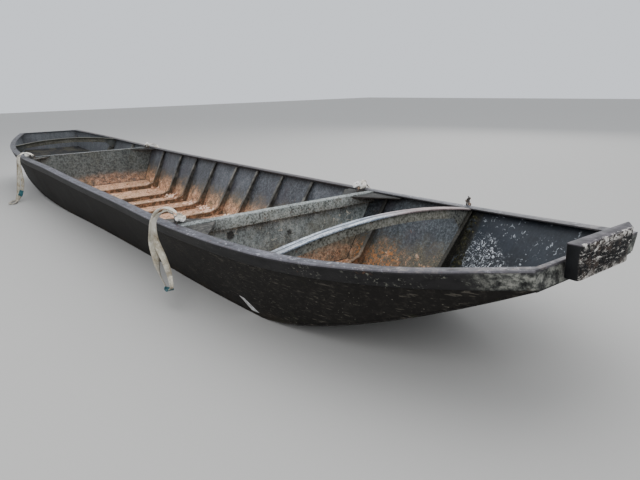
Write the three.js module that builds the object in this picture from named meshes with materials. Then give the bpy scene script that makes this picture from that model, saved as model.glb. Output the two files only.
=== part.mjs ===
// Flat-bottomed steel work scow, open, with a hold between two bulkheads.
// Millimetres. X runs toward the bow, Y to port, Z up. The boat rests on Z = 0.

import * as THREE from 'three';

// Table of offsets, read as stations from stern to bow.
// sheer: half beam over the rub band; deck: height of the gunwale top; chine: half beam at the bottom.
const OFFSETS = [
  { x: -3778, sheer: 372, deck: 584, chine: 349 },
  { x: -3350, sheer: 542, deck: 533, chine: 461 },
  { x: -2800, sheer: 662, deck: 489, chine: 548 },
  { x: -1950, sheer: 711, deck: 457, chine: 579 },
  { x: -1000, sheer: 706, deck: 448, chine: 540 },
  { x: 0, sheer: 722, deck: 441, chine: 505 },
  { x: 1000, sheer: 727, deck: 438, chine: 493 },
  { x: 1950, sheer: 739, deck: 438, chine: 487 },
  { x: 2800, sheer: 684, deck: 462, chine: 443 },
  { x: 3350, sheer: 545, deck: 509, chine: 380 },
  { x: 3778, sheer: 345, deck: 571, chine: 309 },
];

// Rakes of the bottom: where the flat ends, how high the bottom is at the transom.
const RAKE_BOW = { from: 2411, to: 3778, rise: 490, power: 1.43 };
const RAKE_STERN = { from: 948, to: 3778, rise: 352, power: 1.5 };

const PLATE = 5;
const TRANSOM = 5;
const GAP = 0.3;
const STATION_STEP = 120;
const STATION_APART = 5;
const SEAM = 370;
const BAR_SEAM = 2060;

// How far the foot of a side plate stands inside the edge of the bottom plate.
const FOOT_SET = 2;

// Gunwale: a flat bar on top and a flat rub band outside.
const BAR = { width: 60, thick: 8, endWidth: 26 };
const BAND = { thick: 8, deep: 64, deepBow: 70, deepStern: 74, deepensFrom: 0.6, clear: 2 };

// Angle frames: thin at the head, deep in the bilge, and lower again along the floor.
const FRAME = { deep: 42, web: 6, flange: 26, below: 14, head: 0.6, bilge: 1.6, bilgeRun: 120, clear: 0.5 };
const HOLD_FRAMES = [-1485, -1000, -640, -240, 165, 520, 905, 1295, 1690];
const END_FRAMES = { fore: 2105, aft: -2400 };

// Bulkheads. side is the way the cap runs from the plate, away from the hold.
const BULKHEADS = {
  fore: { x: 1944, thick: 5, capWidth: 58, capDrop: 64, capThick: 7, side: 1 },
  aft: { x: -1890, thick: 5, capWidth: 46, capDrop: 32, capThick: 7, side: -1 },
};
const CAP = { lap: 4, low: 1.4 };

const BEAMS = {
  fore: { x: 2791, camber: 62, flange: 60, flangeThick: 8, web: 60, webThick: 6, knee: 106 },
  aft: { x: -2943, camber: 48, flange: 56, flangeThick: 8, web: 58, webThick: 6, knee: 106 },
};
const BEAM_FRAME = { below: 6, bilge: 2.1 };
const BEAM_STEPS = 8;
const KNEE = { wide: 26, run: 0.95, clear: 1 };

// The fender block: its port end is cut at a slant and its lower part stops short there.
const FENDER = {
  starboard: -212, port: 200, slant: 74, deep: 52, high: 114, bottom: 526, standOff: 20,
  corner: 10, bevel: 0.3, slantBevel: 0.4, short: 22, stepAt: 56, stepRun: 4,
};
const BRACKET = { half: 153, over: 6, under: 4 };
const LUG = { wide: 56, high: 42, corner: 18, thick: 12, hole: 10, holeUp: 24, inset: 34, from: 40 };
const ARC_SEGMENTS = 8;
const GUSSET = { thick: 7, under: 20, tip: 10 };
const GUSSETS = [
  { bulkhead: 'fore', facing: -1, along: 190, across: 250 },
  { bulkhead: 'fore', facing: 1, along: 250, across: 195 },
  { bulkhead: 'aft', facing: 1, along: 180, across: 210 },
  { bulkhead: 'aft', facing: -1, along: 150, across: 130 },
];

// Webbing slings. Each point is measured from its lug: along toward the bow, out from the boat's
// middle, and up from the gunwale top there. The loop goes out and down, turns, and comes back.
const WEBBING = { wide: 40, bunched: 24, thick: 4, steps: 72, openBy: 0.1 };
const TWIST = { from: 0.35, to: 0.85 };

// Section of a strap, in halves of its width and thickness.
const STRAP_SECTION = [
  [-1, 0.2], [-0.8, 1], [0.8, 1], [1, 0.2], [1, -0.2], [0.8, -1], [-0.8, -1], [-1, -0.2],
];
const HIGH_LOOP = [
  { along: 6.4, out: 0, up: 16 },
  { along: 22, out: 0, up: 16 },
  { along: 44, out: 8, up: 34 },
  { along: 42, out: 25, up: 57 },
  { along: 24, out: 46, up: 77 },
  { along: -8, out: 67, up: 85 },
  { along: -40, out: 89, up: 72 },
  { along: -64, out: 108, up: 42 },
  { along: -80, out: 119, up: 4 },
  { along: -94, out: 123, up: -47 },
  { along: -104, out: 124, up: -97 },
  { along: -93, out: 125, up: -149 },
  { along: -66, out: 126, up: -197 },
  { along: -34, out: 127, up: -241 },
  { along: 4, out: 127, up: -279 },
  { along: 38, out: 126, up: -309 },
  { along: 65, out: 125, up: -321 },
  { along: 86, out: 124, up: -308 },
  { along: 94, out: 124, up: -281 },
  { along: 86, out: 124, up: -243 },
  { along: 60, out: 123, up: -206 },
  { along: 18, out: 122, up: -166 },
  { along: -28, out: 122, up: -126 },
  { along: -60, out: 121, up: -80 },
  { along: -70, out: 120, up: -30 },
  { along: -66, out: 115, up: 3 },
  { along: -52, out: 98, up: 34 },
  { along: -30, out: 78, up: 60 },
  { along: -18, out: 58, up: 66 },
  { along: -22, out: 38, up: 56 },
  { along: -34, out: 18, up: 38 },
  { along: -24, out: 0, up: 16 },
  { along: -6.4, out: 0, up: 16 },
];
const LOW_LOOP = [
  { along: -6.4, out: 0, up: 16 },
  { along: -24, out: 0, up: 16 },
  { along: -62, out: 22, up: 32 },
  { along: -92, out: 46, up: 43 },
  { along: -108, out: 72, up: 42 },
  { along: -121, out: 101, up: 22 },
  { along: -130, out: 116, up: -14 },
  { along: -136, out: 125, up: -113 },
  { along: -138, out: 142, up: -239 },
  { along: -134, out: 161, up: -344 },
  { along: -129, out: 176, up: -410 },
  { along: -119, out: 194, up: -441 },
  { along: -100, out: 216, up: -444 },
  { along: -66, out: 244, up: -444 },
  { along: -24, out: 272, up: -444 },
  { along: 36, out: 290, up: -444 },
  { along: 84, out: 282, up: -444 },
  { along: 84, out: 256, up: -444 },
  { along: 36, out: 232, up: -444 },
  { along: -16, out: 214, up: -444 },
  { along: -56, out: 200, up: -442 },
  { along: -68, out: 186, up: -422 },
  { along: -60, out: 168, up: -386 },
  { along: -46, out: 147, up: -335 },
  { along: -36, out: 128, up: -273 },
  { along: -34, out: 124, up: -189 },
  { along: -42, out: 123, up: -105 },
  { along: -56, out: 122, up: -34 },
  { along: -61, out: 114, up: 10 },
  { along: -56, out: 92, up: 38 },
  { along: -34, out: 60, up: 50 },
  { along: 0, out: 32, up: 48 },
  { along: 30, out: 10, up: 32 },
  { along: 22, out: 0, up: 16 },
  { along: 6.4, out: 0, up: 16 },
];
const SHORT_LOOP = [
  { along: -6.4, out: 0, up: 16 },
  { along: -22, out: 0, up: 16 },
  { along: -38, out: 22, up: 26 },
  { along: -42, out: 56, up: 30 },
  { along: -41, out: 90, up: 23 },
  { along: -39, out: 114, up: 3 },
  { along: -37, out: 120, up: -30 },
  { along: -38, out: 121, up: -90 },
  { along: -43, out: 121, up: -180 },
  { along: -44, out: 121, up: -258 },
  { along: -24, out: 121, up: -304 },
  { along: 8, out: 122, up: -318 },
  { along: 37, out: 123, up: -292 },
  { along: 43, out: 123, up: -210 },
  { along: 39, out: 123, up: -110 },
  { along: 34, out: 122, up: -24 },
  { along: 31, out: 114, up: 10 },
  { along: 28, out: 92, up: 32 },
  { along: 28, out: 62, up: 38 },
  { along: 34, out: 34, up: 38 },
  { along: 38, out: 10, up: 28 },
  { along: 22, out: 0, up: 16 },
  { along: 6.4, out: 0, up: 16 },
];
const SLINGS = [
  { bulkhead: 'fore', hand: 'starboard', side: -1, route: HIGH_LOOP },
  { bulkhead: 'fore', hand: 'port', side: 1, route: SHORT_LOOP },
  { bulkhead: 'aft', hand: 'starboard', side: -1, route: LOW_LOOP },
  { bulkhead: 'aft', hand: 'port', side: 1, route: SHORT_LOOP },
];

const INK = {
  tar: { color: 0x17161a, roughness: 0.55, metalness: 0.1 },
  tarBottom: { color: 0x1b1a1a, roughness: 0.7, metalness: 0.1 },
  inside: { color: 0x2e3238, roughness: 0.6, metalness: 0.2 },
  gunwale: { color: 0x5a5664, roughness: 0.55, metalness: 0.4 },
  cap: { color: 0x50503f, roughness: 0.75, metalness: 0.2 },
  rusty: { color: 0x6d4530, roughness: 0.85, metalness: 0.2 },
  block: { color: 0x141416, roughness: 0.5, metalness: 0.0 },
  webbing: { color: 0xc9bfa4, roughness: 0.9, metalness: 0.0 },
};

// Hull form

function tangent(rows, i, key) {
  const before = rows[Math.max(i - 1, 0)];
  const after = rows[Math.min(i + 1, rows.length - 1)];
  return (after[key] - before[key]) / (after.x - before.x);
}

function fair(rows, x, key) {
  const last = rows.length - 2;
  let i = 0;
  while (i < last && x > rows[i + 1].x) i += 1;
  const a = rows[i];
  const b = rows[i + 1];
  const h = b.x - a.x;
  const t = (x - a.x) / h;
  const ma = tangent(rows, i, key) * h;
  const mb = tangent(rows, i + 1, key) * h;
  if (t < 0) return a[key] + (ma / h) * (x - a.x);
  if (t > 1) return b[key] + (mb / h) * (x - b.x);
  const t2 = t * t;
  const t3 = t2 * t;
  return a[key] * (2 * t3 - 3 * t2 + 1) + ma * (t3 - 2 * t2 + t)
    + b[key] * (3 * t2 - 2 * t3) + mb * (t3 - t2);
}

function bottomRise(x) {
  const rake = x > 0 ? RAKE_BOW : RAKE_STERN;
  const along = (Math.abs(x) - rake.from) / (rake.to - rake.from);
  return along <= 0 ? 0 : rake.rise * along ** rake.power;
}

function exact(x) {
  return {
    x,
    sheer: fair(OFFSETS, x, 'sheer'),
    deck: fair(OFFSETS, x, 'deck'),
    chine: fair(OFFSETS, x, 'chine'),
    rise: bottomRise(x),
  };
}

const END = OFFSETS[OFFSETS.length - 1].x;
const END_FACE = END + GAP + TRANSOM + GAP + BAND.thick;

function stationPlaces() {
  const places = new Set([-RAKE_STERN.from, RAKE_BOW.from, SEAM, BAR_SEAM, -END, END, -END_FACE, END_FACE]);
  for (let x = -END; x < END; x += STATION_STEP) places.add(x);
  const sorted = [...places].sort((a, b) => a - b);
  return sorted.filter((x, i) => i === 0 || x - sorted[i - 1] > STATION_APART);
}

const STATIONS = stationPlaces().map(exact);

// The plating is flat between stations, so everything reads the form this way.
function at(x) {
  let i = 0;
  while (i < STATIONS.length - 2 && x > STATIONS[i + 1].x) i += 1;
  const a = STATIONS[i];
  const b = STATIONS[i + 1];
  const t = (x - a.x) / (b.x - a.x);
  const mix = (key) => a[key] + (b[key] - a[key]) * t;
  return { x, sheer: mix('sheer'), deck: mix('deck'), chine: mix('chine'), rise: mix('rise') };
}

function between(from, to) {
  const inner = STATIONS.map((s) => s.x).filter((x) => x > from + GAP && x < to - GAP);
  return [from, ...inner, to];
}

// Half breadth of the side plate's inner face at a height.
function insideAt(x, z) {
  const s = at(x);
  const low = { y: s.chine - PLATE - FOOT_SET, z: s.rise + PLATE + GAP };
  const high = { y: s.sheer - BAND.thick - GAP - PLATE, z: s.deck - BAR.thick - GAP };
  return low.y + ((high.y - low.y) * (z - low.z)) / (high.z - low.z);
}

function outsideAt(x, z) {
  return insideAt(x, z) + PLATE;
}

function floorAt(x) {
  return at(x).rise + PLATE;
}

function underBar(x) {
  return at(x).deck - BAR.thick - GAP;
}

// Height of the rub band's lower edge: the band deepens toward both ends.
function bandFoot(x) {
  const extra = (x > 0 ? BAND.deepBow : BAND.deepStern) - BAND.deep;
  const near = Math.max(0, Math.abs(x) / END - BAND.deepensFrom) / (1 - BAND.deepensFrom);
  return Math.max(underBar(x) - BAND.deep - extra * near, floorAt(x) + BAND.clear);
}

// Solids

function volume(position, index) {
  let sum = 0;
  const p = (i) => new THREE.Vector3().fromArray(position, 3 * i);
  for (let i = 0; i < index.length; i += 3) {
    sum += p(index[i]).dot(p(index[i + 1]).cross(p(index[i + 2])));
  }
  return sum / 6;
}

// A closed body through rings of points; flat holds the ring as plane points for the end caps.
function loft(rings, flat, closed = false) {
  const n = rings[0].length;
  const position = rings.flat().flatMap((p) => [p.x, p.y, p.z]);
  const index = [];
  const last = closed ? rings.length : rings.length - 1;
  for (let r = 0; r < last; r += 1) {
    const here = r * n;
    const next = ((r + 1) % rings.length) * n;
    for (let i = 0; i < n; i += 1) {
      const j = (i + 1) % n;
      const [a, b, c, d] = [here + i, here + j, next + j, next + i];
      // Every quad is cut from its lower corner here to its upper corner on the next ring.
      if (position[3 * a + 2] < position[3 * b + 2]) index.push(a, b, c, a, c, d);
      else index.push(a, b, d, b, c, d);
    }
  }
  if (!closed) {
    const outline = flat.map(([u, v]) => new THREE.Vector2(u, v));
    const caps = THREE.ShapeUtils.triangulateShape(outline, []);
    const turn = THREE.ShapeUtils.area(outline) > 0;
    const end = (rings.length - 1) * n;
    for (const [a, b, c] of caps) {
      const first = turn ? [a, c, b] : [a, b, c];
      const final = turn ? [a, b, c] : [a, c, b];
      index.push(...first);
      index.push(...final.map((k) => k + end));
    }
  }
  if (volume(position, index) < 0) {
    for (let i = 0; i < index.length; i += 3) {
      [index[i + 1], index[i + 2]] = [index[i + 2], index[i + 1]];
    }
  }
  const geometry = new THREE.BufferGeometry();
  geometry.setAttribute('position', new THREE.Float32BufferAttribute(position, 3));
  geometry.setIndex(index);
  return geometry;
}

// A strake: its cross-section in the plane of each station is given by a function of x.
function strake(places, section) {
  const rings = places.map((x) => section(x).map(([y, z]) => new THREE.Vector3(x, y, z)));
  return loft(rings, section(places[0]));
}

// A member across the boat: its section in the plane of X and Z, each corner cut to the breadth there.
function crossMember(section, breadth, lift = () => 0, steps = 1) {
  const rings = [];
  for (let i = 0; i <= steps; i += 1) {
    const t = (2 * i) / steps - 1;
    rings.push(section.map(([x, z]) => {
      const y = t * breadth(x, z);
      return new THREE.Vector3(x, y, z + lift(y));
    }));
  }
  return loft(rings, section);
}

function box(x0, x1, y0, y1, z0, z1) {
  const geometry = new THREE.BoxGeometry(x1 - x0, y1 - y0, z1 - z0);
  geometry.translate((x0 + x1) / 2, (y0 + y1) / 2, (z0 + z1) / 2);
  return geometry;
}

function flat(points, thick, place) {
  const shape = new THREE.Shape(points.map(([a, b]) => new THREE.Vector2(a, b)));
  const geometry = new THREE.ExtrudeGeometry(shape, { depth: thick, bevelEnabled: false });
  return geometry.applyMatrix4(place);
}

// Places a drawing of Y and Z at a station, its thickness toward the bow.
function atStation(x) {
  return new THREE.Matrix4().makeBasis(
    new THREE.Vector3(0, 1, 0),
    new THREE.Vector3(0, 0, 1),
    new THREE.Vector3(1, 0, 0),
  ).setPosition(x, 0, 0);
}

function level(z) {
  return new THREE.Matrix4().makeTranslation(0, 0, z);
}

// Plating

function bottomPlate(from, to) {
  return strake(between(from, to), (x) => {
    const s = at(x);
    return [[-s.chine, s.rise], [s.chine, s.rise], [s.chine, s.rise + PLATE], [-s.chine, s.rise + PLATE]];
  });
}

function sidePlate(side, from, to) {
  return strake(between(from, to), (x) => {
    const low = floorAt(x) + GAP;
    const high = underBar(x);
    const band = bandFoot(x);
    const heights = [low, low + (band - low) / 3, low + ((band - low) * 2) / 3, band, high];
    const inner = heights.map((z) => [side * insideAt(x, z), z]);
    const outer = heights.map((z) => [side * outsideAt(x, z), z]);
    return [...inner, ...outer.reverse()];
  });
}

function transom(end) {
  const inner = end * (END + GAP);
  const outer = end * (END + GAP + TRANSOM);
  const low = floorAt(end * END) - PLATE;
  const section = [[inner, low], [outer, low], [outer, underBar(outer)], [inner, underBar(inner)]];
  return crossMember(section, (x, z) => outsideAt(x, z) - FRAME.clear);
}

// Gunwale

function gunwaleBar(side, from, to) {
  const edge = side * BAR.width;
  return strake(between(from, to), (x) => {
    const s = at(x);
    const y = side * s.sheer;
    return [[y - edge, s.deck - BAR.thick], [y, s.deck - BAR.thick], [y, s.deck], [y - edge, s.deck]];
  });
}

function endBar(end) {
  const outer = end * END_FACE;
  const inner = end * (END_FACE - BAR.endWidth);
  const top = (x) => at(x).deck;
  const section = [
    [inner, top(inner) - BAR.thick],
    [outer, top(outer) - BAR.thick],
    [outer, top(outer)],
    [inner, top(inner)],
  ];
  return crossMember(section, (x) => at(x).sheer - BAR.width - GAP);
}

function rubBand(side, from, to) {
  return strake(between(from, to), (x) => {
    const high = underBar(x);
    const low = bandFoot(x);
    const y = (z) => outsideAt(x, z) + GAP;
    return [
      [side * y(low), low],
      [side * (y(low) + BAND.thick), low],
      [side * (y(high) + BAND.thick), high],
      [side * y(high), high],
    ];
  });
}

function endBand(end) {
  const inner = end * (END_FACE - BAND.thick);
  const outer = end * END_FACE;
  const low = bandFoot(end * END);
  const section = [[inner, low], [outer, low], [outer, underBar(outer)], [inner, underBar(inner)]];
  return crossMember(section, (x, z) => outsideAt(x, z) - FRAME.clear);
}

// Frames

function angleSection(deep) {
  const { web, flange } = FRAME;
  return [[0, 0], [deep, 0], [deep, flange], [deep - web, flange], [deep - web, web], [0, web]];
}

// The line a frame follows at x: down one side, over the floor, up the other side.
// depth is how deep the frame is at each point, as a part of its depth on the floor.
function framePath(x, below, bilge) {
  const top = underBar(x) - below;
  const floor = floorAt(x) + GAP;
  const high = insideAt(x, top) - FRAME.clear;
  const low = insideAt(x, floor) - FRAME.clear;
  const half = [
    { y: high, z: top, depth: FRAME.head },
    { y: low, z: floor, depth: bilge },
    { y: low - FRAME.bilgeRun, z: floor, depth: 1 },
  ];
  const starboard = half.map((p) => ({ ...p, y: -p.y }));
  return [...starboard, ...half.reverse()];
}

function inward(path, i) {
  const way = (a, b) => new THREE.Vector2(a.z - b.z, b.y - a.y).normalize();
  const before = i > 0 ? way(path[i - 1], path[i]) : null;
  const after = i < path.length - 1 ? way(path[i], path[i + 1]) : null;
  if (!before || !after) return new THREE.Vector2(1 / (before || after).x, 0);
  const sum = before.clone().add(after);
  return sum.multiplyScalar(2 / sum.lengthSq());
}

function frame(x, { below = FRAME.below, bilge = FRAME.bilge, facing = 1 } = {}) {
  const count = framePath(x, below, bilge).length;
  const rings = [];
  for (let i = 0; i < count; i += 1) {
    const { depth } = framePath(x, below, bilge)[i];
    rings.push(angleSection(FRAME.deep * depth).map(([a, b]) => {
      const path = framePath(x + facing * b, below, bilge);
      const off = inward(path, i).multiplyScalar(a);
      return new THREE.Vector3(x + facing * b, path[i].y + off.x, path[i].z + off.y);
    }));
  }
  return loft(rings, angleSection(FRAME.deep));
}

// Bulkheads

function capTop(bulk) {
  const back = bulk.side > 0 ? bulk.x - CAP.lap : bulk.x + bulk.thick + CAP.lap;
  const outer = back + bulk.side * bulk.capWidth;
  return { back, outer, top: Math.min(at(back).deck, at(outer).deck) - CAP.low };
}

function bulkhead(bulk) {
  const { x, thick, capThick } = bulk;
  const top = Math.min(capTop(bulk).top - capThick, underBar(x), underBar(x + thick)) - GAP;
  const bottom = Math.max(floorAt(x), floorAt(x + thick)) + GAP;
  const section = [[x, bottom], [x + thick, bottom], [x + thick, top], [x, top]];
  return crossMember(section, (px, pz) => insideAt(px, pz) - FRAME.clear);
}

function bulkheadCap(bulk) {
  const { back, outer, top } = capTop(bulk);
  const { side, capDrop, capThick } = bulk;
  const hang = top - capDrop;
  const web = outer - side * capThick;
  const section = [
    [back, top], [outer, top], [outer, hang], [web, hang], [web, top - capThick], [back, top - capThick],
  ];
  return crossMember(section, (px) => at(px).sheer - BAR.width - GAP);
}

// A plate let in under the gunwale bar beside a bulkhead, toward the bow or the stern.
function gussetSpan({ bulkhead: word, facing, along }) {
  const { back, outer } = capTop(BULKHEADS[word]);
  const near = (facing === BULKHEADS[word].side ? outer : back) + facing * GAP;
  const far = near + facing * along;
  return { near, far, top: Math.min(underBar(near), underBar(far)) };
}

function cornerGusset(gusset, side) {
  const { near, far, top } = gussetSpan(gusset);
  const edge = (x) => at(x).sheer - BAR.width;
  const points = [
    [near, side * (edge(near) - gusset.across)],
    [far, side * (edge(far) - GUSSET.tip)],
    [far, side * (edge(far) + GUSSET.under)],
    [near, side * (edge(near) + GUSSET.under)],
  ];
  return flat(points, GUSSET.thick, level(top - GUSSET.thick));
}

// Arched beams

function camberAt(beam, y) {
  const half = at(beam.x).sheer - BAR.width;
  return beam.camber * (1 - (y / half) ** 2);
}

function beamFlange(beam) {
  const x0 = beam.x - (beam.flange - beam.webThick) / 2;
  const x1 = x0 + beam.flange;
  const top = Math.min(at(x0).deck, at(x1).deck) - FRAME.clear;
  const low = top - beam.flangeThick;
  const section = [[x0, low], [x1, low], [x1, top], [x0, top]];
  const reach = (x) => at(x).sheer - BAR.width - GAP;
  return crossMember(section, reach, (y) => Math.max(0, camberAt(beam, y)), 2 * BEAM_STEPS);
}

function beamWeb(beam) {
  const x1 = beam.x + beam.webThick;
  const deck = Math.min(at(beam.x - beam.flange / 2).deck, at(x1 + beam.flange / 2).deck);
  const crown = deck - 2 * FRAME.clear - beam.flangeThick;
  const rail = Math.min(at(beam.x).sheer, at(x1).sheer) - BAR.width - GAP - KNEE.clear;
  const under = Math.min(underBar(beam.x), underBar(x1)) - 2 * GAP;
  const side = (z) => Math.min(insideAt(beam.x, z), insideAt(x1, z)) - FRAME.clear;
  const foot = under - beam.knee;
  const meet = rail - beam.knee * KNEE.run;
  const half = [];
  for (let i = 0; i < BEAM_STEPS; i += 1) {
    const y = (rail * i) / BEAM_STEPS;
    half.push([y, crown + camberAt(beam, y)]);
  }
  half.push([rail, Math.min(crown + camberAt(beam, rail), under)]);
  half.push([side(under), under]);
  half.push([side(foot), foot]);
  half.push([side(foot) - KNEE.wide, foot]);
  for (let i = BEAM_STEPS; i >= 0; i -= 1) {
    const y = (meet * i) / BEAM_STEPS;
    half.push([y, deck + camberAt(beam, y) - beam.web]);
  }
  const other = half.slice(1, -1).reverse().map(([y, z]) => [-y, z]);
  return flat([...half, ...other], beam.webThick, atStation(beam.x));
}

// Bow fender

function fenderOutline(short) {
  const { starboard, deep, standOff, corner, bevel, slantBevel, slant } = FENDER;
  const back = END_FACE + standOff;
  const front = back + deep;
  const port = FENDER.port - short;
  return [
    [back + corner, starboard],
    [front - corner, starboard],
    [front - corner * bevel, starboard + corner * bevel],
    [front, starboard + corner],
    [front, port - slant - corner],
    [front - corner * slantBevel, port - slant + corner * (1 - slantBevel)],
    [back + corner, port - corner],
    [back, port],
    [back, starboard + corner],
    [back + corner * bevel, starboard + corner * bevel],
  ];
}

function fenderBlock() {
  const { bottom, high, short, stepAt, stepRun } = FENDER;
  const levels = [
    { z: bottom, less: short },
    { z: bottom + stepAt, less: short },
    { z: bottom + stepAt + stepRun, less: 0 },
    { z: bottom + high, less: 0 },
  ];
  const rings = levels.map(({ z, less }) => (
    fenderOutline(less).map(([x, y]) => new THREE.Vector3(x, y, z))
  ));
  return loft(rings, fenderOutline(0));
}

function fenderBracket() {
  return box(
    END_FACE + GAP, END_FACE + FENDER.standOff - GAP,
    -BRACKET.half, BRACKET.half,
    FENDER.bottom + BRACKET.over, underBar(END_FACE) - BRACKET.under,
  );
}

// Lifting points and slings

function lugPlace(word, side) {
  const bulk = BULKHEADS[word];
  const { back } = capTop(bulk);
  const x = back - bulk.side * LUG.from;
  const gusset = GUSSETS.find((g) => g.bulkhead === word && g.facing === -bulk.side);
  return { x, y: side * (at(x).sheer - BAR.width - LUG.inset), z: gussetSpan(gusset).top + GAP };
}

// The lug stands across the boat on the gusset, its eye toward bow and stern.
function liftingLug(word, side) {
  const place = lugPlace(word, side);
  const half = LUG.wide / 2;
  const shape = new THREE.Shape();
  shape.moveTo(-half, 0);
  shape.lineTo(half, 0);
  shape.lineTo(half, LUG.high - LUG.corner);
  shape.absarc(half - LUG.corner, LUG.high - LUG.corner, LUG.corner, 0, Math.PI / 2, false);
  shape.absarc(LUG.corner - half, LUG.high - LUG.corner, LUG.corner, Math.PI / 2, Math.PI, false);
  shape.lineTo(-half, 0);
  const hole = new THREE.Path();
  hole.absarc(0, LUG.holeUp, LUG.hole, 0, 2 * Math.PI, true);
  shape.holes.push(hole);
  const geometry = new THREE.ExtrudeGeometry(shape, {
    depth: LUG.thick, bevelEnabled: false, curveSegments: ARC_SEGMENTS,
  });
  geometry.applyMatrix4(atStation(place.x - LUG.thick / 2));
  return geometry.translate(0, place.y, place.z);
}

// Which way the strap's width lies at each step: across the boat where it hangs, along the boat
// where it goes over the gunwale, and flat where it lies on the ground.
function strapWidths(tangents) {
  const ways = [new THREE.Vector3(0, 1, 0)];
  for (const t of tangents) {
    const last = ways[ways.length - 1];
    const turned = THREE.MathUtils.smoothstep(Math.abs(t.y), TWIST.from, TWIST.to);
    const choices = [];
    for (const u of [-turned, turned]) {
      for (const v of [turned - 1, 1 - turned]) choices.push(new THREE.Vector3(u, v, 0).normalize());
    }
    const worth = (way) => way.dot(last) - 2 * Math.abs(way.dot(t));
    ways.push(choices.reduce((best, way) => (worth(way) > worth(best) ? way : best)));
  }
  ways.shift();
  const eased = ways.map((way, i) => {
    const before = ways[Math.max(i - 1, 0)];
    const after = ways[Math.min(i + 1, ways.length - 1)];
    return way.clone().multiplyScalar(2).add(before).add(after);
  });
  return eased.map((way, i) => way.addScaledVector(tangents[i], -way.dot(tangents[i])).normalize());
}

// A flat strap along a smooth route, bunched where it goes through its lug.
function webbing({ bulkhead: word, side, route }) {
  const lug = lugPlace(word, side);
  const deck = at(lug.x).deck;
  const points = route.map((p) => new THREE.Vector3(lug.x + p.along, lug.y + side * p.out, deck + p.up));
  const curve = new THREE.CatmullRomCurve3(points, false, 'centripetal');
  const { steps, wide, bunched, thick, openBy } = WEBBING;
  const places = Array.from({ length: steps + 1 }, (_, i) => i / steps);
  const tangents = places.map((t) => curve.getTangentAt(t));
  const widths = strapWidths(tangents);
  const rings = places.map((t, i) => {
    const centre = curve.getPointAt(t);
    const over = new THREE.Vector3().crossVectors(tangents[i], widths[i]);
    const open = Math.min(1, Math.min(t, 1 - t) / openBy);
    const width = bunched + (wide - bunched) * open;
    const depth = thick * (2 - open);
    return STRAP_SECTION.map(([u, v]) => centre.clone()
      .addScaledVector(widths[i], (u * width) / 2)
      .addScaledVector(over, (v * depth) / 2));
  });
  return loft(rings, STRAP_SECTION);
}

function solid(name, geometry, ink) {
  const made = geometry.index ? geometry : geometry.clone();
  const mesh = new THREE.Mesh(made, new THREE.MeshStandardMaterial(INK[ink]));
  mesh.name = name;
  mesh.material.name = ink;
  return mesh;
}

const boat = new THREE.Group();
boat.name = 'flat_bottomed_scow';
const add = (name, geometry, ink) => boat.add(solid(name, geometry, ink));

const half = GAP / 2;
add('bottom_plate', bottomPlate(-RAKE_STERN.from + half, RAKE_BOW.from - half), 'tarBottom');
add('bow_rake_plate', bottomPlate(RAKE_BOW.from + half, END), 'tarBottom');
add('stern_rake_plate', bottomPlate(-END, -RAKE_STERN.from - half), 'tarBottom');

for (const [word, side] of [['port', 1], ['starboard', -1]]) {
  add(`${word}_side_plate_fore`, sidePlate(side, SEAM + half, END), 'tar');
  add(`${word}_side_plate_aft`, sidePlate(side, -END, SEAM - half), 'tar');
  add(`${word}_gunwale_bar_fore`, gunwaleBar(side, BAR_SEAM + half, END_FACE), 'gunwale');
  add(`${word}_gunwale_bar_aft`, gunwaleBar(side, -END_FACE, BAR_SEAM - half), 'gunwale');
  add(`${word}_rub_band_fore`, rubBand(side, BAR_SEAM + half, END_FACE), 'tar');
  add(`${word}_rub_band_aft`, rubBand(side, -END_FACE, BAR_SEAM - half), 'tar');
}

for (const [word, end] of [['bow', 1], ['stern', -1]]) {
  add(`${word}_transom`, transom(end), 'tar');
  add(`${word}_gunwale_bar`, endBar(end), 'gunwale');
  add(`${word}_rub_band`, endBand(end), 'tar');
}

HOLD_FRAMES.forEach((x, i) => add(`hold_frame_${i + 1}`, frame(x), 'rusty'));
add('fore_compartment_frame', frame(END_FRAMES.fore), 'inside');
add('aft_compartment_frame', frame(END_FRAMES.aft, { facing: -1 }), 'inside');

for (const [word, bulk] of Object.entries(BULKHEADS)) {
  add(`${word}_bulkhead`, bulkhead(bulk), 'inside');
  add(`${word}_bulkhead_cap`, bulkheadCap(bulk), 'cap');
}

for (const [hand, side] of [['port', 1], ['starboard', -1]]) {
  for (const gusset of GUSSETS) {
    const end = gusset.facing > 0 ? 'bow' : 'stern';
    add(`${gusset.bulkhead}_gusset_${end}_${hand}`, cornerGusset(gusset, side), 'cap');
  }
  for (const word of Object.keys(BULKHEADS)) {
    add(`${word}_lifting_lug_${hand}`, liftingLug(word, side), 'rusty');
  }
}

for (const [word, beam] of Object.entries(BEAMS)) {
  add(`${word}_beam_web`, beamWeb(beam), 'inside');
  add(`${word}_beam_flange`, beamFlange(beam), 'gunwale');
  const facing = word === 'fore' ? 1 : -1;
  const x = facing > 0 ? beam.x + beam.webThick + GAP : beam.x - GAP;
  add(`${word}_beam_frame`, frame(x, { ...BEAM_FRAME, facing }), 'inside');
}

for (const sling of SLINGS) {
  add(`${sling.bulkhead}_sling_${sling.hand}`, webbing(sling), 'webbing');
}

add('bow_fender', fenderBlock(), 'block');
add('fender_bracket', fenderBracket(), 'rusty');

export default boat;
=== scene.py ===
import math
import random

import bpy
import numpy as np
from mathutils import Matrix, Quaternion, Vector


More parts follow.
